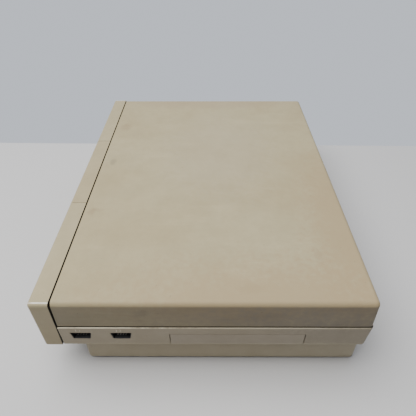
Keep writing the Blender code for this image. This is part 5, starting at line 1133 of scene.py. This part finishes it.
BEZEL_BREAK = 0.2
dress(soften(bezel, BEZEL_BREAK), bezel_plastic, "case", "beige_plastic", "front_bezel")
print("bezel:", len(bezel.data.polygons), "faces")

# %% [markdown]
# ### The two pull-off covers
# The memory cover is the middle of the bezel: face, top and foot in one C, with two pegs that snap into
# the frame. The side expansion cover is a slice of the lower case's leaning wall. Both are kept from a
# larger form by an intersection, which is the surest way to make two surfaces run through.

# %% Build the memory cover and the expansion cover
memory = bezel_block("memory_door")
trim(memory, block("keep", (memory_low.x, FRONT - 20, 20), (memory_high.x, BEZEL_BACK + 20, TOP + 20)))
carve(
    memory,
    block("c_hollow", (MEMORY_LEFT - 1, inside_front, DECK), (MEMORY_RIGHT + 1, BEZEL_BACK + 1, ROOF)),
    groove_block(),
)
for s in (-1, 1):
    x = MEMORY_X + s * (CARD_HALF - 4)
    peg = block(
        "peg", (x - 2, FRONT + LEAN + 1.5, CARD_HIGH - 5), (x + 2, inside_front + 7, CARD_HIGH - 2)
    )
    join(memory, peg)
dress(soften(memory, BEZEL_BREAK), door_plastic, "memory_cover", "beige_plastic", "memory_cover")

side_door = shell_block(
    "side_door", HALF, CASE_FRONT, BACK, DECK_UNDER, RIM, LOWER_DRAFT, CORNER, False
)
trim(side_door, block("keep", (door_low.x, door_low.y, 30), (HALF + 1, door_high.y, door_high.z)))
DOOR_WALL, DOOR_CUT_FROM, DOOR_CUT_TOP = 2.4, 180, 90
carve(
    side_door,
    block(
        "door_hollow",
        (DOOR_CUT_FROM, door_low.y - 1, DECK_UNDER + DOOR_WALL),
        (HALF - LOWER_DRAFT - DOOR_WALL, door_high.y + 1, DOOR_CUT_TOP),
    ),
)
dress(soften(side_door, 0.3), side_plastic, "expansion_cover", "beige_plastic", "expansion_cover")
print("covers:", memory.name, side_door.name)

# %% [markdown]
# ## Small finishes
# Past the case there are few materials, but each shows up close: matt black plastic with a fine grain,
# zinc sheet with brushed streaks, gold-washed pins, green board laminate, rubber, and the red of a lamp
# lens. Each is a short net with one or two noises.

# %% Plastics, metals and rubber


def moulded(name, colour, lift, roughness, grain=1600.0, depth=0.00006):
    """A plain moulded plastic: soft tone clouds and a fine grain."""
    made, tree, shader, place = start_finish(name, roughness)
    tone = tint(tree, fade(tree, noise(tree, place, 60.0, 4.0, 0.6), 0.3, 0.7), colour, lift)
    tree.links.new(tone, shader.inputs["Base Color"])
    gloss = fade(tree, noise(tree, place, 90.0, 4.0, 0.6), 0.3, 0.7, roughness - 0.07, roughness + 0.1)
    tree.links.new(gloss, shader.inputs["Roughness"])
    bump(tree, shader, noise(tree, place, grain, 2.0, 0.5), depth, 0.5)
    return made


def metal(name, colour, tarnish, roughness, stretch=(1.0, 12.0, 12.0)):
    """A rolled or turned metal: streaks along one axis and patches of tarnish."""
    made, tree, shader, place = start_finish(name, roughness, 1.0)
    tone = tint(tree, fade(tree, noise(tree, place, 45.0, 5.0, 0.6), 0.45, 0.75), colour, tarnish)
    tree.links.new(tone, shader.inputs["Base Color"])
    streaks = noise(tree, place, 320.0, 4.0, 0.6, stretch)
    gloss = fade(tree, streaks, 0.3, 0.7, roughness - 0.08, roughness + 0.14)
    tree.links.new(gloss, shader.inputs["Roughness"])
    bump(tree, shader, streaks, 0.00002, 0.3)
    return made


def zinc_sheet(name):
    """Galvanised sheet: the flat crystals of the zinc are cells of slightly different grey."""
    made, tree, shader, place = start_finish(name, 0.38, 1.0)
    cells = add(tree, "TexVoronoi", {"Vector": place, "Scale": 130.0}).outputs["Color"]
    grey = add(tree, "RGBToBW", {"Color": cells}).outputs["Val"]
    tone = tint(tree, grey, (0.50, 0.51, 0.52), (0.66, 0.67, 0.68))
    tree.links.new(tone, shader.inputs["Base Color"])
    tree.links.new(fade(tree, grey, 0.2, 0.8, 0.3, 0.48), shader.inputs["Roughness"])
    bump(tree, shader, noise(tree, place, 90.0, 4.0, 0.6), 0.00004, 0.25)
    return made


BOARD_THICKNESS = 0.0016
PART_CLEARANCE = 0.0005


def laminate(name, node=None):
    """Green board with its copper tracks under the mask.

    The tracks are thin raised lines from a wave pattern and a noise. Given the board's node, all that
    stands on the board is black epoxy.
    """
    made, tree, shader, place = start_finish(name, 0.32)
    wave = {"Vector": place, "Scale": 190.0, "Distortion": 1.2, "Detail": 1.0}
    tracks = add(tree, "TexWave", wave, wave_type="BANDS", bands_direction="DIAGONAL").outputs["Fac"]
    where = fade(tree, noise(tree, place, 36.0, 2.0, 0.4), 0.42, 0.56)
    lines = maths(tree, "MULTIPLY", fade(tree, tracks, 0.55, 0.7), where)
    tone = tint(tree, lines, (0.010, 0.075, 0.036), (0.026, 0.135, 0.058))
    if node:
        on_board = past(tree, place, "Z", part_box(node)[0].z + BOARD_THICKNESS + PART_CLEARANCE, 1)
        speckle = fade(tree, noise(tree, place, 300.0, 3.0, 0.5), 0.3, 0.7)
        tone = tint(
            tree, on_board, tone, tint(tree, speckle, (0.016, 0.016, 0.018), (0.032, 0.032, 0.034))
        )
        lines = maths(tree, "MULTIPLY", lines, maths(tree, "SUBTRACT", 1.0, on_board))
    tree.links.new(tone, shader.inputs["Base Color"])
    bump(tree, shader, lines, 0.00004, 0.6)
    return made


def lamp_lens(name, colour):
    """A frosted lens that lets a little light through, its colour in fine clouds."""
    made, tree, shader, place = start_finish(name, 0.25)
    tone = tint(tree, noise(tree, place, 300.0, 3.0, 0.5), colour, tuple(c * 0.6 for c in colour))
    tree.links.new(tone, shader.inputs["Base Color"])
    shader.inputs["Transmission Weight"].default_value = 0.2
    bump(tree, shader, noise(tree, place, 900.0, 2.0, 0.5), 0.00005, 0.4)
    return made


print("small recipes ready")

# %% [markdown]
# ### One finish for each small material
# A recipe with its own colours gives each material. Real blacks are never quite black and real whites
# never white, so the darkest plastic here still gives back one or two parts in a hundred of the light.

# %% Mix the small finishes
black_plastic = moulded("black_plastic", (0.016, 0.016, 0.018), (0.028, 0.028, 0.030), 0.45)
charcoal = moulded("charcoal_plastic", (0.035, 0.034, 0.033), (0.055, 0.053, 0.050), 0.5)
chip_epoxy = moulded("chip_epoxy", (0.018, 0.018, 0.020), (0.034, 0.034, 0.036), 0.6, 2400.0)
drive_plastic = moulded("drive_plastic", (0.40, 0.36, 0.28), (0.45, 0.40, 0.31), 0.45)
rubber = moulded("foot_rubber", (0.055, 0.053, 0.050), (0.090, 0.086, 0.080), 0.8, 500.0, 0.00012)
grey_ribbon = moulded("ribbon_cable", (0.30, 0.30, 0.31), (0.38, 0.38, 0.39), 0.45, 700.0)
zinc = zinc_sheet("zinc_sheet")
steel = metal("bright_steel", (0.56, 0.56, 0.57), (0.40, 0.39, 0.37), 0.28)
shell_metal = metal("shell_tin", (0.60, 0.59, 0.56), (0.46, 0.44, 0.40), 0.3, (8.0, 8.0, 1.0))
gold = metal("gold_wash", (0.82, 0.60, 0.26), (0.60, 0.44, 0.22), 0.26, (1.0, 1.0, 1.0))
pin_tin = metal("pin_tin", (0.20, 0.19, 0.18), (0.12, 0.11, 0.10), 0.4, (1.0, 1.0, 1.0))
board_green = laminate("board_laminate")
main_green = laminate("main_board_laminate", "main_board")
supply_green = laminate("supply_board_laminate", "supply_board")
power_lens = lamp_lens("power_lens", (0.42, 0.02, 0.015))
drive_lens = lamp_lens("drive_lens", (0.40, 0.16, 0.02))
print("finishes:", len(bpy.data.materials))

# %% [markdown]
# ## Game ports and rear connectors
# Every D connector is the same family: a black body, a thin drawn shell of tinned steel that follows the
# D, and two rows of contacts. A male one has pins that stand in a hollow shell; a female one has a solid
# tongue with small holes. The shell is a D block with a second D block carved from it, and the pins are
# thin rods with bevelled tips. One builder makes all six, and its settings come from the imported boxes.

# %% Build the D connectors
PIN_PITCH, ROW_PITCH = 2.77, 2.84
PIN_RADIUS, HOLE_RADIUS = 0.5, 0.62


def turned(piece, facing, place):
    """Turns a connector that was built facing +Y to its own side, and puts it in place."""
    piece.rotation_euler.z = -math.pi / 2 if facing == "X" else 0.0
    piece.location = Vector(place) * MM
    return settle(piece, piece.name)


def pin_places(count):
    """The two rows of contacts, the upper one with one more, as X and Z round the middle."""
    for row, number in enumerate(((count + 1) // 2, count // 2)):
        for i in range(number):
            yield (i - (number - 1) / 2) * PIN_PITCH, (0.5 - row) * ROW_PITCH


def connector(
    node, pins, male, facing, width, height, nose, body, lean_angle, place, shell_finish=shell_metal
):
    """Shell, insulator and contacts of one D connector; place is the middle of its mouth."""
    back = -nose - body
    housing = block(
        "housing", (-width / 2 - 1, back, -height / 2 - 1), (width / 2 + 1, -nose, height / 2 + 1)
    )
    middle_y = -nose / 2 - 0.5
    shell = d_block("shell", width, height, nose + 1, lean_angle, 1.2, (0, middle_y, 0), "Y")
    carve(
        shell, d_block("bore", width - 1.1, height - 1.1, 2 * nose + 6, lean_angle, 0.8, (0, 0, 0), "Y")
    )
    soften(shell, 0.15, 2)
    holes, contacts = [], []
    if male:
        insulator = housing
    else:
        core = d_block(
            "core", width - 1.3, height - 1.3, nose + 0.6, lean_angle, 0.7, (0, -nose / 2 - 0.8, 0), "Y"
        )
        insulator = join(housing, core)
    for x, z in pin_places(pins):
        if male:
            pin = rod("pin", PIN_RADIUS, (x, -nose - 1, z), (x, -2.1, z), 10)
            tip = rod("tip", PIN_RADIUS, (x, -2.1, z), (x, -1.6, z), 10, 0.2)
            contacts.append(merge(pin, tip))
        else:
            holes.append(rod("hole", HOLE_RADIUS, (x, -4.2, z), (x, 1.0, z), 10))
    soften(insulator, 0.2, 2)
    if holes:
        carve(insulator, *holes)
    insulator.name = node + "_body"
    shell.name = node + "_shell"
    dress(turned(insulator, facing, place), black_plastic, "case", "black_plastic", node)
    slot = "zinc_steel" if shell_finish == shell_metal else "black_plastic"
    dress(turned(shell, facing, place), shell_finish, "case", slot)
    made = [insulator, shell]
    if contacts:
        row = merge(contacts[0], *contacts[1:])
        row.name = node + "_pins"
        pin_finish = gold if shell_finish == shell_metal else pin_tin
        dress(turned(smooth(row), facing, place), pin_finish, "case", "zinc_steel")
        made.append(row)
    return made


for i in range(2):
    name = f"controller_port_{i + 1}"
    mouth = (wall_x(PORT_Z) - 0.35, PORT_Y[i], PORT_Z)
    size = (PORT_WIDTH - 0.5, PORT_HEIGHT - 0.5, 7.9, 10.0)
    connector(name, 9, True, "X", *size, PORT_LEAN, mouth, black_plastic)
SOCKET_Z = middle("serial_port").z
for name, pins, male in (
    ("parallel_port", 25, True),
    ("disk_port", 23, False),
    ("serial_port", 25, False),
    ("rgb_port", 23, True),
):
    low, high = node_box(name)
    width = high.x - low.x - 2.0
    connector(name, pins, male, "Y", width, 8.3, 7.2, 9.0, 10, (middle(name).x, high.y, SOCKET_Z))

# %% [markdown]
# ### Jacks, sockets and the mains inlet
# The phono jacks are turned: a barrel with a rounded lip round a black insulator and a contact hole. The
# television socket is the same idea, larger. The keyboard jack is a block with a stepped mouth for a
# modular plug, and the mains inlet has three flat blades deep in a chamfered well.

# %% Build the jacks and sockets


def phono(node, ring_radius, hole_radius, core_radius):
    """A turned socket: a body behind the panel, a metal barrel and an insulated contact."""
    low, high = node_box(node)
    face = high.y
    x = middle(node).x
    root = panel_high.y - 1.4
    body = block(node + "_body", (low.x, low.y, low.z), (high.x, root, high.z))
    core = rod("core", core_radius, (x, root - 1, SOCKET_Z), (x, face - 0.8, SOCKET_Z), 40)
    insulator = carve(
        join(body, core), rod("hole", hole_radius, (x, root, SOCKET_Z), (x, face + 1, SOCKET_Z), 24)
    )
    dress(soften(insulator, 0.25), black_plastic, "case", "black_plastic", node)
    ring = rod(node + "_ring", ring_radius, (x, root - 0.5, SOCKET_Z), (x, face, SOCKET_Z), 48)
    carve(ring, rod("bore", core_radius + 0.15, (x, root - 2, SOCKET_Z), (x, face + 1, SOCKET_Z), 48))
    dress(soften(ring, 0.25), shell_metal, "case", "zinc_steel")
    contact = rod("contact", hole_radius - 0.05, (x, root + 0.4, SOCKET_Z), (x, face - 2.4, SOCKET_Z), 24)
    carve(contact, rod("bore", hole_radius - 0.6, (x, root + 1.0, SOCKET_Z), (x, face, SOCKET_Z), 24))
    contact.name = node + "_contact"
    dress(smooth(contact), gold, "case", "zinc_steel")


for node in ("audio_jack_left", "audio_jack_right", "video_jack"):
    phono(node, 4.1, 1.6, 3.1)
phono("tv_socket", 7.6, 1.8, 5.4)

low, high = node_box("keyboard_jack")
x = middle("keyboard_jack").x
jack = block("keyboard_jack_body", low, high)
carve(
    jack,
    block("mouth", (x - 4.9, high.y - 14, SOCKET_Z - 3.6), (x + 4.9, high.y + 1, SOCKET_Z + 3.2)),
    block("latch", (x - 3.1, high.y - 14, SOCKET_Z - 4.8), (x + 3.1, high.y + 1, SOCKET_Z - 3.4)),
    block("latch_step", (x - 2.0, high.y - 6, SOCKET_Z - 5.5), (x + 2.0, high.y + 1, SOCKET_Z - 4.6)),
)
dress(soften(jack, 0.25), black_plastic, "case", "black_plastic", "keyboard_jack")
wires = []
for i in range(4):
    wx = x + (i - 1.5) * 1.3
    wire = rod("wire", 0.22, (wx, high.y - 13, SOCKET_Z + 3.0), (wx, high.y - 2.5, SOCKET_Z + 0.4), 8)
    wires.append(wire)
contacts = merge(wires[0], *wires[1:])
contacts.name = "keyboard_jack_wires"
dress(smooth(contacts), gold, "case", "zinc_steel")

low, high = node_box("power_inlet")
inlet_face = high.y
inlet = block(
    "mains_inlet",
    (inlet_x - INLET_HALF_W, low.y, inlet_z - INLET_HALF_H),
    (inlet_x + INLET_HALF_W, inlet_face, inlet_z + INLET_HALF_H),
)
round_off(inlet, "edges", along(1), 2.5, 5)
collar_y = BACK - LOWER_DRAFT - WALL - 0.3
join(inlet, block("collar", (low.x, collar_y - 2, low.z), (high.x, collar_y, high.z)))
well = block("well", (-12.1, -16, -8.1), (12.1, 16, 8.1))
upper = lambda e: along(1)(e) and points(beyond(2, 8.0))(e)
round_off(well, "edges", upper, 4.5, 1)
round_off(well, "edges", lambda e: along(1)(e) and points(level(2, -8.1))(e), 1.0, 4)
well.location = Vector((inlet_x, inlet_face, inlet_z)) * MM
carve(inlet, settle(well, "well"))
dress(soften(inlet, 0.3), black_plastic, "case", "black_plastic", "power_inlet")
blades = []
for dx, dz in ((-7, -2), (7, -2), (0, 2)):
    bx, bz = inlet_x + dx, inlet_z + dz
    blades.append(
        block("blade", (bx - 1, inlet_face - 16.5, bz - 2.4), (bx + 1, inlet_face - 2.5, bz + 2.4))
    )
inlet_blades = merge(blades[0], *blades[1:])
inlet_blades.name = "inlet_blades"
dress(soften(inlet_blades, 0.35, 3), shell_metal, "case", "zinc_steel")
print("inlet and jacks done")

# %% [markdown]
# ### The connector panel
# The panel behind the back window is sheet steel with one opening for each connector, and a pair of
# hexagonal standoffs beside every D shell. A standoff is a six-sided rod with a bevelled rim and a
# threaded bore.

# %% Build the panel and its standoffs
panel = block("connector_plate", panel_low, panel_high)
for name in ("parallel_port", "disk_port", "serial_port", "rgb_port"):
    low, high = node_box(name)
    hole = (middle(name).x, panel_high.y, SOCKET_Z)
    carve(panel, d_block("hole", high.x - low.x - 1.2, 9.1, 6, 10, 1.4, hole, "Y"))
ROUND_HOLES = {"audio_jack_left": 4.5, "audio_jack_right": 4.5, "video_jack": 4.5, "tv_socket": 8.0}
for name, radius in ROUND_HOLES.items():
    x = middle(name).x
    carve(panel, rod("hole", radius, (x, panel_low.y - 2, SOCKET_Z), (x, BACK, SOCKET_Z), 40))
low, high = node_box("keyboard_jack")
carve(
    panel, block("hole", (low.x - 0.4, panel_low.y - 2, low.z - 0.4), (high.x + 0.4, BACK, high.z + 0.4))
)
dress(soften(panel, 0.1, 1), zinc, "case", "zinc_steel", "io_panel")
STUD_RADIUS, STUD_LENGTH, THREAD_RADIUS = 2.6, 4.6, 1.3
studs = []
for name in ("parallel_port", "disk_port", "serial_port", "rgb_port"):
    low, high = node_box(name)
    for x in (low.x - 3.2, high.x + 3.2):
        face = panel_high.y + STUD_LENGTH
        stud = rod("stud", STUD_RADIUS, (x, panel_high.y, SOCKET_Z), (x, face, SOCKET_Z), 6)
        round_off(stud, "edges", points(level(1, face)), 0.4, 2)
        carve(stud, rod("thread", THREAD_RADIUS, (x, face - 3.5, SOCKET_Z), (x, face + 1, SOCKET_Z), 16))
        studs.append(stud)
standoffs = merge(studs[0], *studs[1:])
standoffs.name = "hex_standoffs"
dress(smooth(standoffs, 30.0), steel, "case", "screw_steel")
print("standoffs:", len(studs))

# %% [markdown]
# ## The drive's front
# The disk drive shows its own face in the bezel's window: a flat plate with a wide slot, a round scoop
# for a thumb, a small lamp and the eject button. The scoop is a shallow disc carved from the face. The
# slot's sprung flap hangs from a thin axle, and its lower edge is rounded, because the disk pushes it in.

# %% Build the face, flap and button
flap_low, flap_high = node_box("drive_flap")
button_low, button_high = node_box("eject_button")
lamp_low, lamp_high = node_box("drive_led")
drive_x = middle("drive_faceplate").x
mouth_half = (flap_high.x - flap_low.x) / 2
hinge_z = flap_high.z - 0.75
mouth_low, mouth_high = flap_low.z - 0.3, hinge_z - 1.1
plate = block("drive_front", face_low, face_high)
round_off(plate, "edges", points(level(1, face_low.y)), 0.8, 4)
mouth = block(
    "mouth", (drive_x - mouth_half, face_low.y - 1, mouth_low), (
        drive_x + mouth_half, face_high.y + 1, mouth_high
    )
)
round_off(mouth, "edges", along(1), 0.8, 4)
scoop = rod(
    "scoop",
    13,
    (drive_x, face_low.y - 4.0, mouth_low + 4.5),
    (drive_x, face_low.y + 1.3, mouth_low + 4.5),
    64,
)
round_off(scoop, "edges", points(level(1, face_low.y + 1.3)), 1.2, 5)
carve(
    plate,
    mouth,
    block(
        "flap_pocket",
        (drive_x - mouth_half - 1.0, face_low.y + 1.4, mouth_low),
        (drive_x + mouth_half + 1.0, face_high.y + 1, hinge_z + 1.3),
    ),
    scoop,
    block(
        "button_hole",
        (button_low.x - GAP, face_low.y - 1, button_low.z - GAP),
        (button_high.x + GAP, face_high.y + 1, button_high.z + GAP),
    ),
    block(
        "lamp_hole",
        (lamp_low.x - 0.25, face_low.y - 1, lamp_low.z - 0.25),
        (lamp_high.x + 0.25, face_high.y + 1, lamp_high.z + 0.25),
    ),
)
dress(soften(plate, 0.2), drive_plastic, "case", "beige_plastic", "drive_faceplate")

hinge_y = middle("drive_flap").y
flap = block(
    "slot_flap",
    (flap_low.x + 0.9, hinge_y - 0.6, flap_low.z),
    (flap_high.x - 0.9, hinge_y + 0.6, hinge_z),
)
round_off(flap, "edges", points(level(2, flap_low.z)), 0.5, 4)
join(flap, rod("axle", 0.75, (flap_low.x, hinge_y, hinge_z), (flap_high.x, hinge_y, hinge_z), 24))
dress(soften(flap, 0.12), charcoal, "drive_flap", "black_plastic", "drive_flap")

button_face = button_low.y
stalk_low = middle("eject_button").x - 5
button = block(
    "eject_key", (button_low.x, button_face, button_low.z), (
        button_high.x, face_high.y - 0.3, button_high.z
    )
)
round_off(button, "edges", points(level(1, button_face)), 0.8, 5)
DISH_RADIUS, DISH_DEPTH = 60, 0.3
dish_x, dish_y = middle("eject_button").x, button_face - DISH_RADIUS + DISH_DEPTH
dish_z = middle("eject_button").z
carve(button, rod("dish", DISH_RADIUS, (dish_x, dish_y, dish_z - 10), (dish_x, dish_y, dish_z + 10), 256))
stalk = block(
    "stalk",
    (stalk_low, face_low.y + 2, button_low.z + 1.5),
    (stalk_low + 10, button_high.y, button_low.z + 4.5),
)
join(button, stalk)
dress(soften(button, 0.15), drive_plastic, "eject_button", "beige_plastic", "eject_button")
print("drive face, flap and button done")

# %% [markdown]
# ### The two lamps
# Each lamp is a small lens with a rounded front. Its back is inset and pushed in, so the lens has walls
# and a hollow as the real one has, and light can gather at its rim.

# %% Build the lamps
for name, node, finish in (
    ("power_lamp", "power_led", power_lens), ("drive_lamp", "drive_led", drive_lens)
):
    low, high = node_box(node)
    lens = block(name, low, high)
    round_off(lens, "edges", points(level(1, low.y)), 0.6, 5)
    shape(
        lens, "faces", lambda f: f.normal.y > 0.9, bpy.ops.mesh.inset, thickness=0.5 * MM, depth=-2.0 * MM
    )
    dress(smooth(lens), finish, "case", "red_lens", node)
print("two lamps")

# %% [markdown]
# ## Feet, screws and the fan
# Each foot is a turned rubber button with a ring-shaped groove in its sole. Each case screw has a domed
# head with a cross cut in it. The fan's blades are short twisted paddles: a thin block, subdivided along
# its length, whose far end is turned against its near end.

# %% Build the feet and the screws
for name in FEET:
    low, high = node_box(name)
    x, y, _ = middle(name)
    radius = (high.x - low.x) / 2
    foot = rod(name + "_rubber", radius - 0.1, (x, y, 0), (x, y, high.z), 64)
    round_off(foot, "edges", points(level(2, 0)), 0.8, 5)
    ring = rod("ring", radius - 2.0, (x, y, -1), (x, y, 0.5), 64)
    carve(ring, rod("core", radius - 3.4, (x, y, -2), (x, y, 2), 64))
    carve(foot, ring)
    dress(soften(foot, 0.12), rubber, "case", "grey_rubber", name)
for i, (x, y) in enumerate(POSTS):
    low, high = node_box(f"case_screw_{i + 1}")
    screw = rod(f"pan_screw_{i + 1}", 3.4, (x, y, low.z), (x, y, low.z + 2.2), 48)
    round_off(screw, "edges", points(level(2, low.z)), 1.4, 6)
    join(screw, rod("shank", 1.75, (x, y, low.z + 1), (x, y, high.z), 24))
    for size in ((2.2, 0.45), (0.45, 2.2)):
        carve(
            screw,
            block(
                "cross", (x - size[0], y - size[1], low.z - 1), (x + size[0], y + size[1], low.z + 1.2)
            ),
        )
    dress(soften(screw, 0.08, 1), steel, "case", "screw_steel", f"case_screw_{i + 1}")
print("feet and screws done")

# %% [markdown]
# ### The fan
# The fan is a square frame with a round bore, four screw holes, and a cross of struts that holds the hub
# from behind. A blade is made once for each place: a flat paddle whose points are turned about its own
# length, less and less towards the tip, because the tip moves faster than the root.

# %% Build the fan
fan_low, fan_high = node_box("fan_frame")
fan_x, fan_y, fan_z = middle("fan_frame")
fan_half = (fan_high.x - fan_low.x) / 2
frame_piece = block("fan_housing", fan_low, fan_high)
round_off(frame_piece, "edges", along(1), 3.0, 6)
carve(
    frame_piece,
    rod("bore", fan_half - 1.6, (fan_x, fan_low.y - 1, fan_z), (fan_x, fan_high.y + 1, fan_z), 96),
)
for dx in (-1, 1):
    for dz in (-1, 1):
        hx, hz = fan_x + dx * (fan_half - 4.2), fan_z + dz * (fan_half - 4.2)
        carve(frame_piece, rod("hole", 1.7, (hx, fan_low.y - 1, hz), (hx, fan_high.y + 1, hz), 20))
reach = fan_half - 1.0
join(
    frame_piece,
    block("strut", (fan_x - reach, fan_low.y, fan_z - 2), (fan_x + reach, fan_low.y + 2, fan_z + 2)),
    block("strut", (fan_x - 2, fan_low.y, fan_z - reach), (fan_x + 2, fan_low.y + 2, fan_z + reach)),
    rod("disc", 10.0, (fan_x, fan_low.y, fan_z), (fan_x, fan_low.y + 2.1, fan_z), 48),
)
dress(soften(frame_piece, 0.2), black_plastic, "case", "black_plastic", "fan_frame")

rotor_low, rotor_high = node_box("fan_rotor")
HUB_RADIUS, BLADE_ROOT, HALF_CHORD = 10.0, 8.5, 5.5
ROOT_PITCH, PITCH_LOSS = 44, 16
hub = rod("fan_wheel", HUB_RADIUS, (fan_x, rotor_low.y, fan_z), (fan_x, rotor_high.y, fan_z), 64)
round_off(hub, "edges", points(level(1, rotor_high.y)), 1.2, 5)
round_off(hub, "edges", points(level(1, rotor_low.y)), 0.5, 3)
BLADES = 7
for i in range(BLADES):
    blade = block("blade", (BLADE_ROOT, -HALF_CHORD, -0.5), (fan_half - 2.9, HALF_CHORD, 0.5))
    shape(blade, "edges", along(0), bpy.ops.mesh.subdivide, number_cuts=6)
    for vertex in blade.data.vertices:
        along_blade = (vertex.co.x / MM - BLADE_ROOT) / (fan_half - 11.4)
        pitch = math.radians(ROOT_PITCH - PITCH_LOSS * along_blade)
        vertex.co = Matrix.Rotation(pitch, 3, "X") @ vertex.co
    blade.rotation_euler.y = math.tau * i / BLADES
    blade.location = Vector((fan_x, fan_y + 0.8, fan_z)) * MM
    join(hub, settle(blade, "blade"))
dress(soften(hub, 0.15, 2, 40.0), charcoal, "fan_rotor", "black_plastic", "fan_rotor")
print("fan with", BLADES, "blades")

# %% [markdown]
# ## The switch
# The mains switch sits in a well behind an opening of the left wall. Its rocker stays as packed, because
# it is already the shape that turns in the well. The well is rebuilt with soft edges and a step round its
# mouth.

# %% Build the switch well
low, high = node_box("switch_housing")
well_piece = block("switch_well", low, high)
cavity = block("cavity", (low.x - 1, low.y + 2.6, low.z + 2.6), (low.x + 12, high.y - 2.6, high.z - 2.6))
round_off(cavity, "edges", along(0), 0.8, 4)
carve(well_piece, cavity)
dress(soften(well_piece, 0.3), black_plastic, "case", "black_plastic", "switch_housing")
print("switch well done")

# %% [markdown]
# ## Finishes for the pieces inside
# Boards, shields, the supply and the drive's works stay as packed, because their shapes are right and
# most of them are seen only through an opening or with a cover off. They still get real finishes: zinc
# sheet for the folded cans, laminate for the boards, epoxy for the chips, bright steel for shafts.

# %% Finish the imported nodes
INSIDE = {
    zinc: ("bottom_shield", "top_shield", "supply_case", "supply_cover", "drive_cover", "disk_cage"),
    steel: ("spindle_motor", "stepper_motor", "spindle_hub", "lead_screw", "guide_rod", "drive_chassis"),
    main_green: ("main_board",),
    supply_green: ("supply_board",),
    board_green: ("daughter_board", "drive_board"),
    chip_epoxy: ("custom_chip_1", "custom_chip_2", "custom_chip_3", "processor_chip"),
    black_plastic: ("memory_connector", "switch_rocker", "head_carriage", "power_harness"),
    grey_ribbon: ("drive_ribbon",),
}
for finish, names in INSIDE.items():
    for name in names:
        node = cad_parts[name]
        for slot in node.material_slots:
            slot.material = finish
        if not node.material_slots:
            node.data.materials.append(finish)
left = [n for n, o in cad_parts.items() if not o.hide_render and n not in sum(INSIDE.values(), ())]
print("finished inside:", sum(len(names) for names in INSIDE.values()), "still bare:", left)
